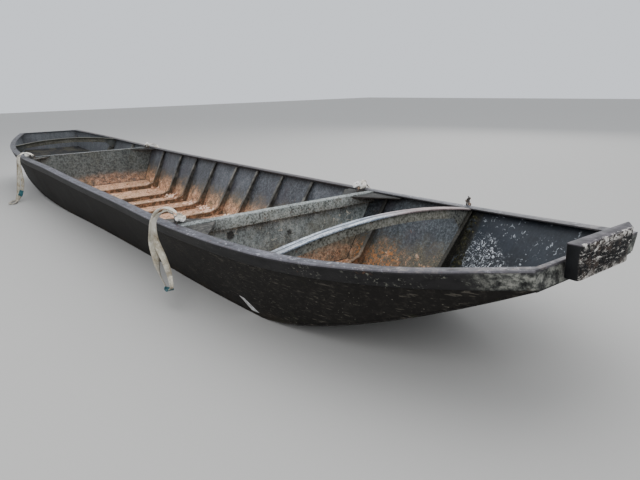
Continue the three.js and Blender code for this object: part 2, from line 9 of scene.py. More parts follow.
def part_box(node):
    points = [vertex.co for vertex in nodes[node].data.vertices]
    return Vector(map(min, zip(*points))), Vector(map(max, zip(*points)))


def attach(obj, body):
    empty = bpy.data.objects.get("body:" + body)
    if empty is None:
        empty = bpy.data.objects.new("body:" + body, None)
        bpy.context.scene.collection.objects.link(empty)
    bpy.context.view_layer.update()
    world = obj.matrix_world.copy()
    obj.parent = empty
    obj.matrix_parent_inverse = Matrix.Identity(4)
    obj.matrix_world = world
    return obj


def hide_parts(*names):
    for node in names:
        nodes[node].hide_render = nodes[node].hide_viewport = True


# Looks of an open steel work scow. Metres, X toward the bow, Y to port, Z up.

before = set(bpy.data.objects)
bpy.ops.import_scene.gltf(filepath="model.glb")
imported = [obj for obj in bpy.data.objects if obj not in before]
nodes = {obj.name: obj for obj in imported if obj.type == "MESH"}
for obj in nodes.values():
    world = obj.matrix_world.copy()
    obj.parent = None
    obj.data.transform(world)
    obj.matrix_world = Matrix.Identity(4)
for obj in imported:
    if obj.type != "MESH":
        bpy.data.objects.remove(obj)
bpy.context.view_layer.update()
print("frame loaded,", len(nodes), "nodes")


# shader maths

class Wire:
    # one socket; sums, products and powers of wires add Math nodes
    def __init__(self, paint, socket):
        self.paint = paint
        self.socket = socket

    def maths(self, operation, first, second=0.0):
        return self.paint.node("ShaderNodeMath", {"operation": operation}, {0: first, 1: second})

    def __add__(self, other):
        return self.maths("ADD", self, other)

    def __radd__(self, other):
        return self.maths("ADD", other, self)

    def __sub__(self, other):
        return self.maths("SUBTRACT", self, other)

    def __rsub__(self, other):
        return self.maths("SUBTRACT", other, self)

    def __mul__(self, other):
        return self.maths("MULTIPLY", self, other)

    def __rmul__(self, other):
        return self.maths("MULTIPLY", other, self)

    def __pow__(self, other):
        return self.maths("POWER", self, other)

    def __abs__(self):
        return self.maths("ABSOLUTE", self)

    def top(self, other):
        return self.maths("MAXIMUM", self, other)

    def low(self, other):
        return self.maths("MINIMUM", self, other)

    def wave(self):
        return self.maths("SINE", self)


class Paint:
    # a material with its Principled shader, and short ways to add nodes to it
    def __init__(self, name, **fixed):
        self.material = bpy.data.materials.new(name)
        self.material.use_nodes = True
        self.tree = self.material.node_tree
        self.shader = self.tree.nodes["Principled BSDF"]
        self.here = self.node("ShaderNodeTexCoord", out="Object")
        self.base = None
        for socket, value in fixed.items():
            self.shader.inputs[socket.replace("_", " ")].default_value = value

    def node(self, kind, settings=None, sockets=None, out=0):
        made = self.tree.nodes.new(kind)
        for key, value in (settings or {}).items():
            if key == "stops":
                ramp = made.color_ramp.elements
                while len(ramp) < len(value):
                    ramp.new(0.5)
                for stop, (place, colour) in zip(ramp, value):
                    stop.position = place
                    stop.color = (*colour, 1)
            else:
                setattr(made, key, value)
        for key, value in (sockets or {}).items():
            if isinstance(value, Wire):
                self.tree.links.new(value.socket, made.inputs[key])
            elif value is not None:
                made.inputs[key].default_value = value
        return Wire(self, made.outputs[out])

    def own(self, name):
        # a number kept on the piece's own vertices
        return self.node("ShaderNodeAttribute", {"attribute_name": name}, out="Fac")

    def axes(self, vector=None):
        split = self.node("ShaderNodeSeparateXYZ", {}, {0: vector or self.here})
        outs = split.socket.node.outputs
        return [Wire(self, outs[i]) for i in range(3)]

    def stretched(self, x=1, y=1, z=1, turn=(0, 0, 0), shift=(0, 0, 0)):
        return self.node("ShaderNodeMapping", {"vector_type": "POINT"},
                         {"Vector": self.here, "Scale": (x, y, z), "Rotation": turn, "Location": shift})

    def noise(self, scale, detail=4, rough=0.55, warp=0.0, shift=None, over=None):
        # over is another vector than the piece's own place
        if shift:
            over = self.stretched(shift=shift)
        return self.node("ShaderNodeTexNoise", {"noise_dimensions": "3D"},
                         {"Vector": over or self.here, "Scale": scale, "Detail": detail, "Roughness": rough,
                          "Distortion": warp})

    def cells(self, scale, out="Distance", over=None):
        return self.node("ShaderNodeTexVoronoi", {}, {"Vector": over or self.here, "Scale": scale}, out=out)

    def step(self, value, low, high):
        # smooth step, 0 at low and 1 at high
        return self.node("ShaderNodeMapRange", {"interpolation_type": "SMOOTHSTEP", "clamp": True},
                         {"Value": value, "From Min": low, "From Max": high})

    def spots(self, scale, low, high, detail=4, rough=0.55, shift=None):
        # where a noise lies above high, fading out at low
        return self.step(self.noise(scale, detail, rough, shift=shift), low, high)

    def ramp(self, value, *stops):
        return self.node("ShaderNodeValToRGB", {"stops": stops}, {0: value})

    def mix(self, factor, first, second):
        def colour(c):
            return c if isinstance(c, Wire) else (*c, 1)
        return self.node("ShaderNodeMix", {"data_type": "RGBA"},
                         {0: factor, 6: colour(first), 7: colour(second)}, out=2)

    def coat(self, factor, colour):
        # lays a colour over the base
        self.base = self.mix(factor, self.base, colour)

    def bump(self, height, distance, strength=1.0, under=None):
        return self.node("ShaderNodeBump", {}, {"Height": height, "Distance": distance,
                                                "Strength": strength, "Normal": under})

    def done(self, rough, normal):
        for socket, wire in (("Base Color", self.base), ("Roughness", rough), ("Normal", normal)):
            self.tree.links.new(wire.socket, self.shader.inputs[socket])
        return self.material


# hull sizes, as in the part's source

hull = {
    "bowFlat": 2.411, "bowEnd": 3.778, "bowRise": 0.490, "bowPower": 1.43,
    "sternFlat": 0.948, "sternEnd": 3.778, "sternRise": 0.352, "sternPower": 1.5,
    "plate": 0.005, "sideSeam": 0.370, "barSeam": 2.060, "beamFrame": 2.835,
}


def bottomAt(x):
    # height of the plating's underside
    if x > 0:
        t = (x - hull["bowFlat"]) / (hull["bowEnd"] - hull["bowFlat"])
        return hull["bowRise"] * max(0.0, t) ** hull["bowPower"]
    t = (-x - hull["sternFlat"]) / (hull["sternEnd"] - hull["sternFlat"])
    return hull["sternRise"] * max(0.0, t) ** hull["sternPower"]


def aboveFloor(x, z):
    # height above the bottom plate, which rises toward both ends
    bow = ((x - hull["bowFlat"]) * (1 / (hull["bowEnd"] - hull["bowFlat"]))).top(0.0) ** hull["bowPower"]
    stern = ((-1.0 * x - hull["sternFlat"]) * (1 / (hull["sternEnd"] - hull["sternFlat"]))).top(0.0)
    return z - bow * hull["bowRise"] - stern ** hull["sternPower"] * hull["sternRise"] - hull["plate"]


# finishes

def rustColour(p, scale=1.0):
    patches = p.noise(24 * scale, 6, 0.68)
    grain = p.noise(190 * scale, 3, 0.6)
    tint = p.noise(6 * scale, 4, 0.6, shift=(5, 2, 3))
    crumbs = p.noise(75 * scale, 4, 0.7, shift=(2, 7, 4))
    rust = p.ramp(patches * 0.35 + crumbs * 0.45 + grain * 0.20,
                  (0.38, (0.085, 0.040, 0.024)), (0.45, (0.34, 0.150, 0.075)),
                  (0.51, (0.68, 0.360, 0.200)), (0.57, (0.86, 0.560, 0.380)), (0.65, (0.93, 0.80, 0.66)))
    rust = p.mix(p.step(tint, 0.48, 0.66) * 0.5, rust, (0.36, 0.260, 0.130))
    return rust, patches, grain


def foreHalf(p, x):
    return p.step(x, -0.1, 0.1)


def aftHalf(p, x):
    return p.step(x, 0.1, -0.1)


def holdOnly(p, x):
    # one in the hold, fading out at its bulkheads
    return p.step(x, 2.03, 1.92) * p.step(x, -1.96, -1.87)


def scratchLines(p, scale, wide, shift=(0, 0, 0)):
    # thin curved lines, broken into short lengths
    lines = abs(p.noise(scale, 2, 0.4, 0.8, shift=shift) - 0.5)
    breaks = p.spots(scale * 1.7, 0.52, 0.58, 2, shift=shift)
    return p.step(lines, wide, wide * 0.3) * breaks


def scratchedPatch(p):
    # the well scratched place in the bow, just forward of its frame
    x, y, z = p.axes()
    away = ((x - 2.99) * 5.6) ** 2.0 + ((z - 0.265) * 11.5) ** 2.0
    loose = p.noise(16, 4, 0.6, shift=(1, 1, 6))
    return p.step(away + (loose - 0.5) * 3.2, 1.35, 0.35)


def bowCoat(p, tone, dark, light):
    # blue black coating forward of the fore beam, scratched bright; gives where it lies
    x, y, z = p.axes()
    bow = p.step(x, 2.80, 2.87)
    p.coat(bow * 0.88, p.mix(tone, dark, light))
    lines = scratchLines(p, 32, 0.042).top(scratchLines(p, 55, 0.046, (3, 8, 1)))
    p.coat(lines * scratchedPatch(p) * bow, (0.74, 0.78, 0.82))
    return bow


def tarFinish():
    # outside of the hull: brushed tar, dusty and scuffed toward the bow, with mud at its foot
    p = Paint("tarFinish", Specular_IOR_Level=0.13)
    x, y, z = p.axes()
    broad = p.noise(1.7, 4, 0.6)
    blotch = p.noise(6.5, 5, 0.6, shift=(1, 7, 3))
    runs = p.noise(1.0, 5, 0.6, over=p.stretched(26, 26, 2.4))
    fine = p.noise(95, 4, 0.65)
    slanted = p.stretched(19, 19, 120, turn=(0, math.radians(32), 0))
    strokes = p.step(p.noise(1.0, 3, 0.6, over=slanted), 0.585, 0.65) * p.spots(11, 0.48, 0.58)
    crossed = p.stretched(24, 24, 130, turn=(0, math.radians(-24), 0), shift=(3, 0, 0))
    strokes = strokes.top(p.step(p.noise(1.0, 3, 0.6, over=crossed), 0.59, 0.66) * p.step(broad, 0.44, 0.58))
    forward = p.step(x, 0.9, 2.4)
    specks = p.step(p.cells(48), 0.17, 0.09) * p.spots(17, 0.46, 0.58, 4, 0.7)
    p.base = p.mix(p.step(broad * 0.6 + blotch * 0.4, 0.38, 0.62), (0.0058, 0.0049, 0.0047),
                   (0.0112, 0.0098, 0.0092))
    p.coat(p.step(runs, 0.52, 0.72) * 0.45, (0.020, 0.0175, 0.0155))
    warm = p.mix(forward, (0.0085, 0.0072, 0.0060), (0.0135, 0.0120, 0.0105))
    p.coat(0.5, warm)
    p.coat(strokes * (0.25 + forward * 0.40), (0.115, 0.104, 0.086))
    p.coat(specks * (0.30 + forward * 0.40), (0.210, 0.195, 0.165))
    mottled = p.spots(34, 0.50, 0.62, 6, 0.78, (6, 1, 2))
    p.coat(mottled * (0.22 + forward * 0.22), (0.036, 0.032, 0.027))
    green = p.spots(8, 0.60, 0.70, 5, 0.65, (2, 2, 9)) * forward
    p.coat(green * 0.35, (0.030, 0.034, 0.018))
    mud = p.step(z + (runs - 0.5) * 0.09, 0.09, 0.0) * p.step(blotch, 0.40, 0.62)
    p.coat(mud * 0.45, (0.052, 0.043, 0.032))
    rough = 0.58 + broad * 0.14 + strokes * 0.15 + specks * 0.2 + fine * 0.10 + mud * 0.15
    heights = fine * 0.22 + runs * 0.35 + p.noise(28, 3) * 0.5 + strokes * 0.2
    dents = p.bump(p.noise(1.0, 2, over=p.stretched(2.2, 2.2, 1.4)), 0.030, 0.35)
    return p.done(rough, p.bump(heights, 0.0015, 0.6, dents))


def bandFinish():
    # rub band: dark and satin, with rings and pale lichen toward the bow
    p = Paint("bandFinish", Specular_IOR_Level=0.15)
    x, y, z = p.axes()
    up = p.own("up")
    broad = p.noise(3.1, 5, 0.6)
    along = p.noise(1.0, 5, 0.6, over=p.stretched(6, 30, 30))
    fine = p.noise(110, 4, 0.65)
    p.base = p.mix(p.step(broad * 0.5 + along * 0.5, 0.38, 0.62), (0.0065, 0.0062, 0.0066),
                   (0.0175, 0.0165, 0.0170))
    bow = p.step(x, 2.65, 3.1)
    lichen = p.spots(62, 0.575, 0.64, 5, 0.72) * p.spots(9, 0.46, 0.58)
    dust = p.step(p.cells(42), 0.16, 0.09) * p.spots(15, 0.47, 0.58, 4, 0.7)
    p.coat(dust * 0.55, (0.185, 0.178, 0.165))
    p.coat(lichen * (0.12 + bow * 0.80), (0.215, 0.215, 0.180))
    ringed = p.stretched(1, 0.4, 1, shift=(0.41, 0, 0.02))
    ring = p.step(abs(p.cells(21, over=ringed) - 0.27), 0.085, 0.02) * p.spots(5, 0.46, 0.56)
    p.coat(ring * bow * p.step(fine, 0.42, 0.56) * 0.45, (0.175, 0.175, 0.150))
    corner = p.step(x, 3.56, 3.74)
    olive = p.ramp(p.noise(30, 7, 0.78), (0.40, (0.012, 0.012, 0.012)), (0.50, (0.085, 0.088, 0.080)),
                   (0.60, (0.300, 0.300, 0.265)))
    p.coat(corner * 0.85, olive)
    rusty = p.spots(17, 0.64, 0.72, 5, 0.7, (4, 1, 2))
    p.coat(rusty * (0.18 + bow * 0.5), (0.105, 0.052, 0.030))
    edge = p.step(up + (fine - 0.5) * 0.22, 0.86, 1.0)
    p.coat(edge * 0.40, (0.055, 0.052, 0.060))
    foot = p.step(up, 0.10, 0.0)
    p.coat(foot * 0.7, (0.0035, 0.0032, 0.0034))
    rough = 0.46 + fine * 0.16 + lichen * 0.2 + corner * 0.15
    heights = fine * 0.3 + along * 0.5 + lichen * 0.6
    return p.done(rough, p.bump(heights, 0.0014, 0.7))


def insideFinish():
    # inside of the plating: slate grey coating with runs, rust climbing from the floor
    p = Paint("insideFinish", Specular_IOR_Level=0.42)
    x, y, z = p.axes()
    broad = p.noise(2.6, 5, 0.6)
    drawnDown = p.stretched(26, 26, 2.6, turn=(0, math.radians(12), 0), shift=(3, 1, 0))
    runs = p.noise(1.0, 5, 0.62, over=drawnDown)
    fineRuns = p.noise(1.0, 4, 0.6, over=p.stretched(110, 110, 7, turn=(0, math.radians(16), 0)))
    fine = p.noise(130, 4, 0.6)
    p.base = p.ramp(broad * 0.42 + runs * 0.38 + fine * 0.20,
                    (0.38, (0.024, 0.027, 0.032)), (0.49, (0.060, 0.067, 0.079)),
                    (0.57, (0.098, 0.108, 0.124)), (0.67, (0.180, 0.192, 0.210)))
    p.coat(p.step(fineRuns, 0.58, 0.72) * 0.45, (0.250, 0.265, 0.285))
    speckle = p.noise(64, 5, 0.75)
    p.coat(p.step(speckle, 0.50, 0.60) * 0.35, (0.210, 0.222, 0.240))
    p.coat(p.step(speckle, 0.48, 0.40) * 0.45, (0.016, 0.019, 0.023))
    forward = p.step(x, 1.93, 1.95)
    p.coat(forward * 0.50, (0.012, 0.022, 0.025))
    p.coat(p.step(speckle, 0.52, 0.60) * forward * 0.45, (0.150, 0.180, 0.200))
    p.coat(p.step(speckle, 0.47, 0.41) * forward * 0.5, (0.006, 0.010, 0.012))
    p.coat(p.step(x, -1.88, -1.92) * 0.35, (0.150, 0.156, 0.160))
    violet = p.spots(4.4, 0.50, 0.66, 4, shift=(8, 3, 1))
    p.coat(violet * 0.35, (0.060, 0.050, 0.064))
    height = aboveFloor(x, z)
    wander = (p.noise(8, 7, 0.72) - 0.5) * 0.30
    edge = height + wander
    inHold = holdOnly(p, x)
    foreBay = p.step(x, 1.94, 2.02) * p.step(x, 2.82, 2.70)
    reach = (inHold + foreBay * 0.85).low(1.0)
    spotty = p.spots(26, 0.52, 0.60, 6, 0.72, (1, 4, 8))
    spotty = spotty * foreBay + (1 - foreBay)
    rust, patches, grain = rustColour(p)
    algae = p.step(edge, 0.26, 0.10) * reach
    green = p.mix(p.step(grain, 0.40, 0.62), (0.060, 0.062, 0.046), (0.230, 0.190, 0.110))
    p.coat(algae * 0.70, green)
    rusty = p.step(edge, 0.205, 0.03) * reach
    p.coat(rusty * spotty * p.step(patches * 0.55 + grain * 0.45, 0.38, 0.56), rust)
    # orange grit about the foot of the frame in the fore compartment
    grit = p.spots(58, 0.49, 0.57, 5, 0.76, (7, 2, 5))
    grit = grit * p.step(x, 2.50, 2.30) * p.step(edge, 0.20, 0.05)
    p.coat(grit * foreBay * 0.85, (0.47, 0.195, 0.060))
    # chips of rust on the coating higher up
    chips = p.spots(34, 0.65, 0.70, 4, 0.7, (2, 9, 4))
    chips = chips * p.step(edge, 0.42, 0.22)
    p.coat(chips * 0.75, (0.20, 0.095, 0.055))
    bow = bowCoat(p, p.step(broad, 0.38, 0.64), (0.0060, 0.0084, 0.0130), (0.0135, 0.0192, 0.0290))
    few = scratchLines(p, 26, 0.030, (5, 2, 2)) * p.spots(9, 0.47, 0.57, 3)
    p.coat(few * bow * 0.8, (0.50, 0.54, 0.58))
    # dark moss, and painted shadow of the knee, around the frame at the fore beam
    mossAndShade = p.step(abs(x - hull["beamFrame"]), 0.075, 0.030) * p.step(z, 0.10, 0.2)
    mossAndShadeColour = p.ramp(p.noise(46, 6, 0.75), (0.40, (0.0050, 0.0052, 0.0042)),
                    (0.56, (0.018, 0.0175, 0.012)), (0.68, (0.090, 0.086, 0.058)))
    p.coat(mossAndShade * p.spots(15, 0.30, 0.46), mossAndShadeColour)
    # painted shade under the gunwale
    under = p.step(height, 0.34, 0.43)
    p.coat(under * 0.55, (0.0140, 0.0145, 0.0150))
    rough = 0.46 + fine * 0.2 + rusty * 0.32 - bow * 0.06 + mossAndShade * 0.3
    heights = fine * 0.3 + runs * 0.4 + rusty * grain * 2.2 + mossAndShade * p.noise(60, 4) * 2.0
    dents = p.bump(p.noise(1.0, 2, over=p.stretched(2.6, 2.6, 1.8)), 0.025, 0.30)
    return p.done(rough, p.bump(heights, 0.0018, 0.7, dents))


def floorFinish():
    # top of the bottom plating: flaking rust in the hold, dark coating beyond it
    p = Paint("floorFinish", Specular_IOR_Level=0.40)
    x, y, z = p.axes()
    rust, patches, grain = rustColour(p, 0.9)
    inHold = holdOnly(p, x)
    foreBay = p.step(x, 2.80, 2.55) * p.step(x, 1.9, 2.0) * 0.80
    soil = p.noise(8, 5, 0.6)
    dark = p.mix(p.step(soil, 0.4, 0.65), (0.016, 0.017, 0.018), (0.060, 0.050, 0.038))
    cover = (inHold * 1.1 + foreBay).low(1.0) * p.step(patches + soil * 0.5 + inHold * 0.25, 0.50, 0.68)
    p.base = p.mix(cover, dark, rust)
    crumbs = p.spots(75, 0.48, 0.56, 5, 0.78, (5, 8, 2))
    p.coat(crumbs * inHold * 0.72, (0.84, 0.56, 0.40))
    p.coat(crumbs * foreBay * 0.9, (0.46, 0.190, 0.060))
    bowCoat(p, p.step(soil, 0.38, 0.64), (0.0080, 0.0100, 0.0150), (0.0210, 0.0260, 0.0370))
    after = p.step(x, -1.90, -2.0)
    p.coat(after * p.step(soil, 0.50, 0.62) * 0.6, (0.052, 0.054, 0.040))
    heights = grain * 1.2 + patches * 1.4
    return p.done(0.58 + grain * 0.32, p.bump(heights, 0.0035, 0.9))


def gunwaleFinish():
    # flat bar on top: coating rubbed down to grey violet, paler at its outer edge and the bow
    p = Paint("gunwaleFinish", Metallic=0.12)
    x, y, z = p.axes()
    across = p.own("across")
    broad = p.noise(5, 5, 0.65)
    along = p.noise(1.0, 5, 0.68, over=p.stretched(9, 34, 34))
    fine = p.noise(150, 4, 0.6)
    p.base = p.ramp(broad * 0.32 + along * 0.43 + fine * 0.25,
                    (0.38, (0.014, 0.014, 0.018)), (0.46, (0.052, 0.052, 0.066)),
                    (0.54, (0.112, 0.112, 0.138)), (0.66, (0.270, 0.266, 0.305)))
    dull = p.mix(p.step(fine, 0.45, 0.58), (0.026, 0.026, 0.024), (0.105, 0.105, 0.098))
    p.coat(p.step(x, -0.6, -2.0) * 0.60, dull)
    bow = p.step(x, 3.0, 3.35)
    pink = p.ramp(p.noise(23, 6, 0.75), (0.38, (0.030, 0.027, 0.033)), (0.50, (0.090, 0.078, 0.084)),
                  (0.62, (0.32, 0.27, 0.24)))
    p.coat(bow * 0.8, pink)
    forward = p.step(x, 1.7, 2.3)
    specks = p.spots(52, 0.565, 0.62, 5, 0.75) * p.spots(9, 0.42, 0.54, 3)
    p.coat(specks * (0.3 + forward * 0.6), (0.72, 0.72, 0.78))
    pits = p.spots(42, 0.54, 0.60, 6, 0.78, (4, 4, 4))
    p.coat(pits * 0.7, (0.020, 0.020, 0.026))
    grime = p.spots(15, 0.54, 0.66, 5, 0.7, (3, 6, 1))
    p.coat(grime * 0.55, (0.030, 0.028, 0.030))
    freckles = p.spots(40, 0.61, 0.68, 4, 0.65)
    p.coat(freckles * 0.65, (0.165, 0.078, 0.050))
    # the far bar has lost its coating along the hold
    brown = p.step(y, 0.3, 0.5) * p.step(x, 1.95, 1.6)
    bare = p.mix(p.step(along, 0.42, 0.60), (0.022, 0.016, 0.015), (0.125, 0.072, 0.058))
    p.coat(brown * 0.65, bare)
    inner = p.step(across + (along - 0.5) * 0.5, 0.30, 0.02)
    p.coat(inner * 0.6, (0.026, 0.025, 0.028))
    # painted shade along the inner half of the far bar's top
    far = p.step(y, 0.3, 0.5) * p.step(across + (along - 0.5) * 0.4, 0.75, 0.35)
    p.coat(far * 0.7, (0.022, 0.021, 0.022))
    edge = p.step(across + (fine - 0.5) * 0.10, 0.90, 1.0)
    p.coat(edge * 0.45, (0.235, 0.225, 0.250))
    p.coat(0.16 + bow * 0.16, (0.026, 0.026, 0.032))
    rough = 0.40 + fine * 0.25 + freckles * 0.2 + grime * 0.15
    return p.done(rough, p.bump(fine * 0.4 + broad + grime * 0.4, 0.0013, 0.7))


def capFinish():
    # bulkhead caps: olive grey, darker at their ends, with moss and chips
    p = Paint("capFinish", Specular_IOR_Level=0.38)
    x, y, z = p.axes()
    broad = p.noise(6, 5, 0.6)
    fine = p.noise(95, 5, 0.7)
    runs = p.noise(1.0, 4, 0.6, over=p.stretched(30, 30, 8))
    p.base = p.ramp(broad * 0.30 + runs * 0.30 + fine * 0.40,
                    (0.40, (0.042, 0.048, 0.046)), (0.47, (0.160, 0.180, 0.168)),
                    (0.54, (0.330, 0.360, 0.340)), (0.64, (0.640, 0.670, 0.640)))
    dark = p.spots(38, 0.52, 0.60, 6, 0.78, (2, 4, 6))
    p.coat(dark * 0.6, (0.036, 0.036, 0.032))
    p.coat(aftHalf(p, x) * 0.55, (0.060, 0.052, 0.046))
    brown = p.spots(10, 0.50, 0.64, 5, 0.65, (5, 5, 5))
    p.coat(brown * 0.40, (0.150, 0.130, 0.090))
    ends = p.step(abs(y) + (broad - 0.5) * 0.25, 0.40, 0.50)
    p.coat(ends * 0.68, (0.034, 0.032, 0.030))
    moss = p.spots(30, 0.56, 0.66, 5, 0.75)
    p.coat(moss * 0.5, (0.062, 0.068, 0.026))
    chips = p.spots(44, 0.65, 0.70, 3)
    p.coat(chips * 0.7, (0.21, 0.105, 0.060))
    rim = p.step(z, 0.426, 0.434) * p.step(fine, 0.42, 0.58)
    p.coat(rim * 0.45, (0.300, 0.325, 0.345))
    p.coat(foreHalf(p, x) * p.step(fine, 0.40, 0.60) * 0.45, (0.46, 0.50, 0.48))
    return p.done(0.62 + fine * 0.3, p.bump(fine * 0.8 + moss * 0.8 + broad, 0.0022, 0.85))


def gussetFinish():
    # dark mottled coating, darkest on the far side
    p = Paint("gussetFinish", Specular_IOR_Level=0.3)
    fine = p.noise(60, 6, 0.75)
    broad = p.noise(14, 5, 0.6)
    p.base = p.ramp(fine * 0.6 + broad * 0.4, (0.40, (0.012, 0.012, 0.011)), (0.50, (0.038, 0.037, 0.033)),
                    (0.60, (0.140, 0.132, 0.118)))
    x, y, z = p.axes()
    p.coat(p.step(y, 0.3, 0.4) * 0.65, (0.017, 0.017, 0.016))
    return p.done(0.66 + fine * 0.25, p.bump(fine + broad, 0.002, 0.8))


def flangeFinish():
    # top of the arched beams: blue white streaks at the near end, a painted sheen over the streaky coating,
    # pinkish beyond, dull olive aft
    p = Paint("flangeFinish", Metallic=0.15)
    x, y, z = p.axes()
    across = p.own("across")
    broad = p.noise(1.0, 5, 0.6, over=p.stretched(9, 4, 9))
    streak = p.noise(1.0, 4, 0.6, over=p.stretched(80, 3.5, 80))
    fine = p.noise(130, 4, 0.6)
    # painted blue white sheen at the near end
    blue = p.ramp(streak * 0.6 + fine * 0.4, (0.38, (0.090, 0.118, 0.165)), (0.48, (0.30, 0.35, 0.42)),
                  (0.58, (0.74, 0.79, 0.84)))
    pink = p.ramp(broad * 0.6 + fine * 0.4, (0.38, (0.135, 0.098, 0.098)), (0.50, (0.330, 0.255, 0.245)),
                  (0.62, (0.480, 0.410, 0.385)))
    p.base = p.mix(p.step(y + (broad - 0.5) * 0.35, -0.14, 0.16), blue, pink)
    gully = p.step(abs(across - 0.46), 0.13, 0.05) * p.step(y, 0.24, 0.05)
    p.coat(gully * 0.9, (0.030, 0.044, 0.072))
    grime = p.spots(17, 0.53, 0.66, 5, 0.65)
    p.coat(grime * 0.5, (0.085, 0.080, 0.066))
    ends = p.step(abs(y), 0.52, 0.60)
    p.coat(ends * 0.45, (0.115, 0.108, 0.105))
    dull = p.mix(p.step(fine * 0.5 + broad * 0.5, 0.42, 0.58), (0.036, 0.035, 0.026), (0.110, 0.106, 0.082))
    p.coat(aftHalf(p, x), dull)
    return p.done(0.44 + fine * 0.25, p.bump(fine + streak, 0.0011, 0.7))


def webFinish():
    # beam webs: olive speckle, with greyer knees
    p = Paint("webFinish", Specular_IOR_Level=0.36)
    x, y, z = p.axes()
    fine = p.noise(85, 5, 0.72)
    broad = p.noise(7, 5, 0.6)
    p.base = p.ramp(fine * 0.6 + broad * 0.4, (0.38, (0.040, 0.039, 0.030)), (0.48, (0.160, 0.152, 0.120)),
                    (0.57, (0.290, 0.278, 0.230)), (0.68, (0.46, 0.45, 0.40)))
    p.coat(aftHalf(p, x) * 0.6, (0.040, 0.038, 0.030))
    knee = p.step(abs(y), 0.44, 0.50)
    grey = p.mix(p.step(broad, 0.4, 0.6), (0.040, 0.046, 0.048), (0.085, 0.094, 0.094))
    p.coat(knee * 0.75, grey)
    chips = p.spots(40, 0.64, 0.70, 3)
    p.coat(chips * 0.6, (0.19, 0.10, 0.06))
    p.coat(foreHalf(p, x) * p.step(fine, 0.40, 0.58) * 0.40, (0.40, 0.40, 0.35))
    return p.done(0.64 + fine * 0.25, p.bump(fine + broad, 0.002, 0.8))


def bulkheadFinish():
    # bulkhead plates: slate with pale curled scuffs and round tarry spots, darker aft
    p = Paint("bulkheadFinish", Specular_IOR_Level=0.38)
    x, y, z = p.axes()
    broad = p.noise(3.6, 5, 0.6)
    runs = p.noise(1.0, 4, 0.6, over=p.stretched(20, 20, 5))
    fine = p.noise(115, 5, 0.65)
    p.base = p.ramp(broad * 0.45 + runs * 0.2 + fine * 0.35,
                    (0.40, (0.064, 0.078, 0.080)), (0.48, (0.210, 0.250, 0.254)),
                    (0.56, (0.370, 0.425, 0.422)), (0.66, (0.640, 0.690, 0.670)))
    speckle = p.noise(46, 6, 0.78, shift=(3, 1, 9))
    p.coat(p.step(speckle, 0.49, 0.41) * 0.6, (0.050, 0.060, 0.060))
    p.coat(p.step(speckle, 0.56, 0.64) * 0.4, (0.560, 0.590, 0.560))
    olive = p.spots(5.5, 0.52, 0.66, 4, shift=(4, 4, 4))
    p.coat(olive * 0.35, (0.190, 0.185, 0.130))
    aft = aftHalf(p, x)
    dark = p.mix(p.step(speckle, 0.44, 0.58), (0.024, 0.028, 0.026), (0.094, 0.102, 0.094))
    p.coat(aft * 0.76, dark)
    curls = scratchLines(p, 7, 0.010, (6, 2, 2)).top(scratchLines(p, 15, 0.014, (2, 2, 8)))
    curls = curls * p.spots(3.2, 0.44, 0.58, 2)
    p.coat(curls * 0.8 * (1 - aft), (0.78, 0.73, 0.60))
    blots = p.cells(6.5, over=p.stretched(shift=(0.37, 0.13, 0.2)))
    blots = p.step(blots + (fine - 0.5) * 0.12, 0.21, 0.14) * (1 - aft)
    p.coat(blots * 0.88, (0.0120, 0.0125, 0.0130))
    # rust along the foot, most on the faces in the hold, and dirt on the fore compartment's side
    height = aboveFloor(x, z)
    low = p.step(height + (broad - 0.5) * 0.18, 0.15, 0.03)
    rust, patches, grain = rustColour(p)
    inHold = p.step(x, 1.9465, 1.9455) * p.step(x, -1.8865, -1.8875)
    foot = p.step(height + (broad - 0.5) * 0.2, 0.26, 0.10) * (1 - inHold) * (1 - aft)
    dirt = p.mix(p.step(speckle, 0.44, 0.58), (0.060, 0.058, 0.042), (0.230, 0.200, 0.135))
    p.coat(foot * 0.75, dirt)
    rusty = low * p.step(patches * 0.45 + grain * 0.55, 0.40, 0.56) * (0.75 + inHold * 0.15)
    p.coat(rusty, rust)
    return p.done(0.50 + fine * 0.22 + low * 0.2, p.bump(fine * 0.4 + runs * 0.4, 0.0018, 0.7))


def frameFinish():
    # frames: rust and dirt on the floor, dark coating up the sides
    p = Paint("frameFinish", Specular_IOR_Level=0.32)
    x, y, z = p.axes()
    rust, patches, grain = rustColour(p)
    soil = p.noise(12, 5, 0.6)
    dark = p.ramp(soil * 0.5 + grain * 0.5, (0.38, (0.028, 0.027, 0.024)), (0.52, (0.088, 0.082, 0.066)),
                  (0.66, (0.200, 0.180, 0.140)))
    height = aboveFloor(x, z)
    low = p.step(height + (soil - 0.5) * 0.16, 0.16, 0.02) * p.step(abs(x), 2.9, 2.3)
    brown = p.mix(p.step(grain, 0.42, 0.60), (0.070, 0.050, 0.034), (0.270, 0.200, 0.130))
    p.base = p.mix(low * 0.8, dark, brown)
    p.coat(low * p.step(patches, 0.44, 0.60) * 0.50, rust)
    # grey higher up, darker in the fore compartment, and nearly black at the fore beam, dark brown with
    # painted shade on the frame's face
    upper = p.step(height, 0.12, 0.22)
    grey = p.mix(p.step(soil, 0.42, 0.60), (0.034, 0.037, 0.039), (0.165, 0.167, 0.155))
    p.coat(upper * 0.6, grey)
    foreFrame = p.step(x, 2.0, 2.05) * p.step(x, 2.3, 2.2) * upper
    p.coat(foreFrame * 0.75, (0.028, 0.028, 0.026))
    forward = p.step(x, 2.70, 2.74)
    black = p.mix(p.step(grain, 0.44, 0.62), (0.0075, 0.0075, 0.0065), (0.050, 0.046, 0.034))
    p.coat(forward * 0.85, black)
    return p.done(0.62 + grain * 0.25, p.bump(grain + soil * 1.5, 0.0028, 0.85))


def rustFinish():
    p = Paint("rustFinish", Specular_IOR_Level=0.3)
    rust, patches, grain = rustColour(p, 1.6)
    soil = p.noise(20, 4)
    p.base = p.mix(p.step(soil, 0.50, 0.62), rust, (0.045, 0.032, 0.030))
    return p.done(0.70 + grain * 0.25, p.bump(grain + patches, 0.002, 0.8))


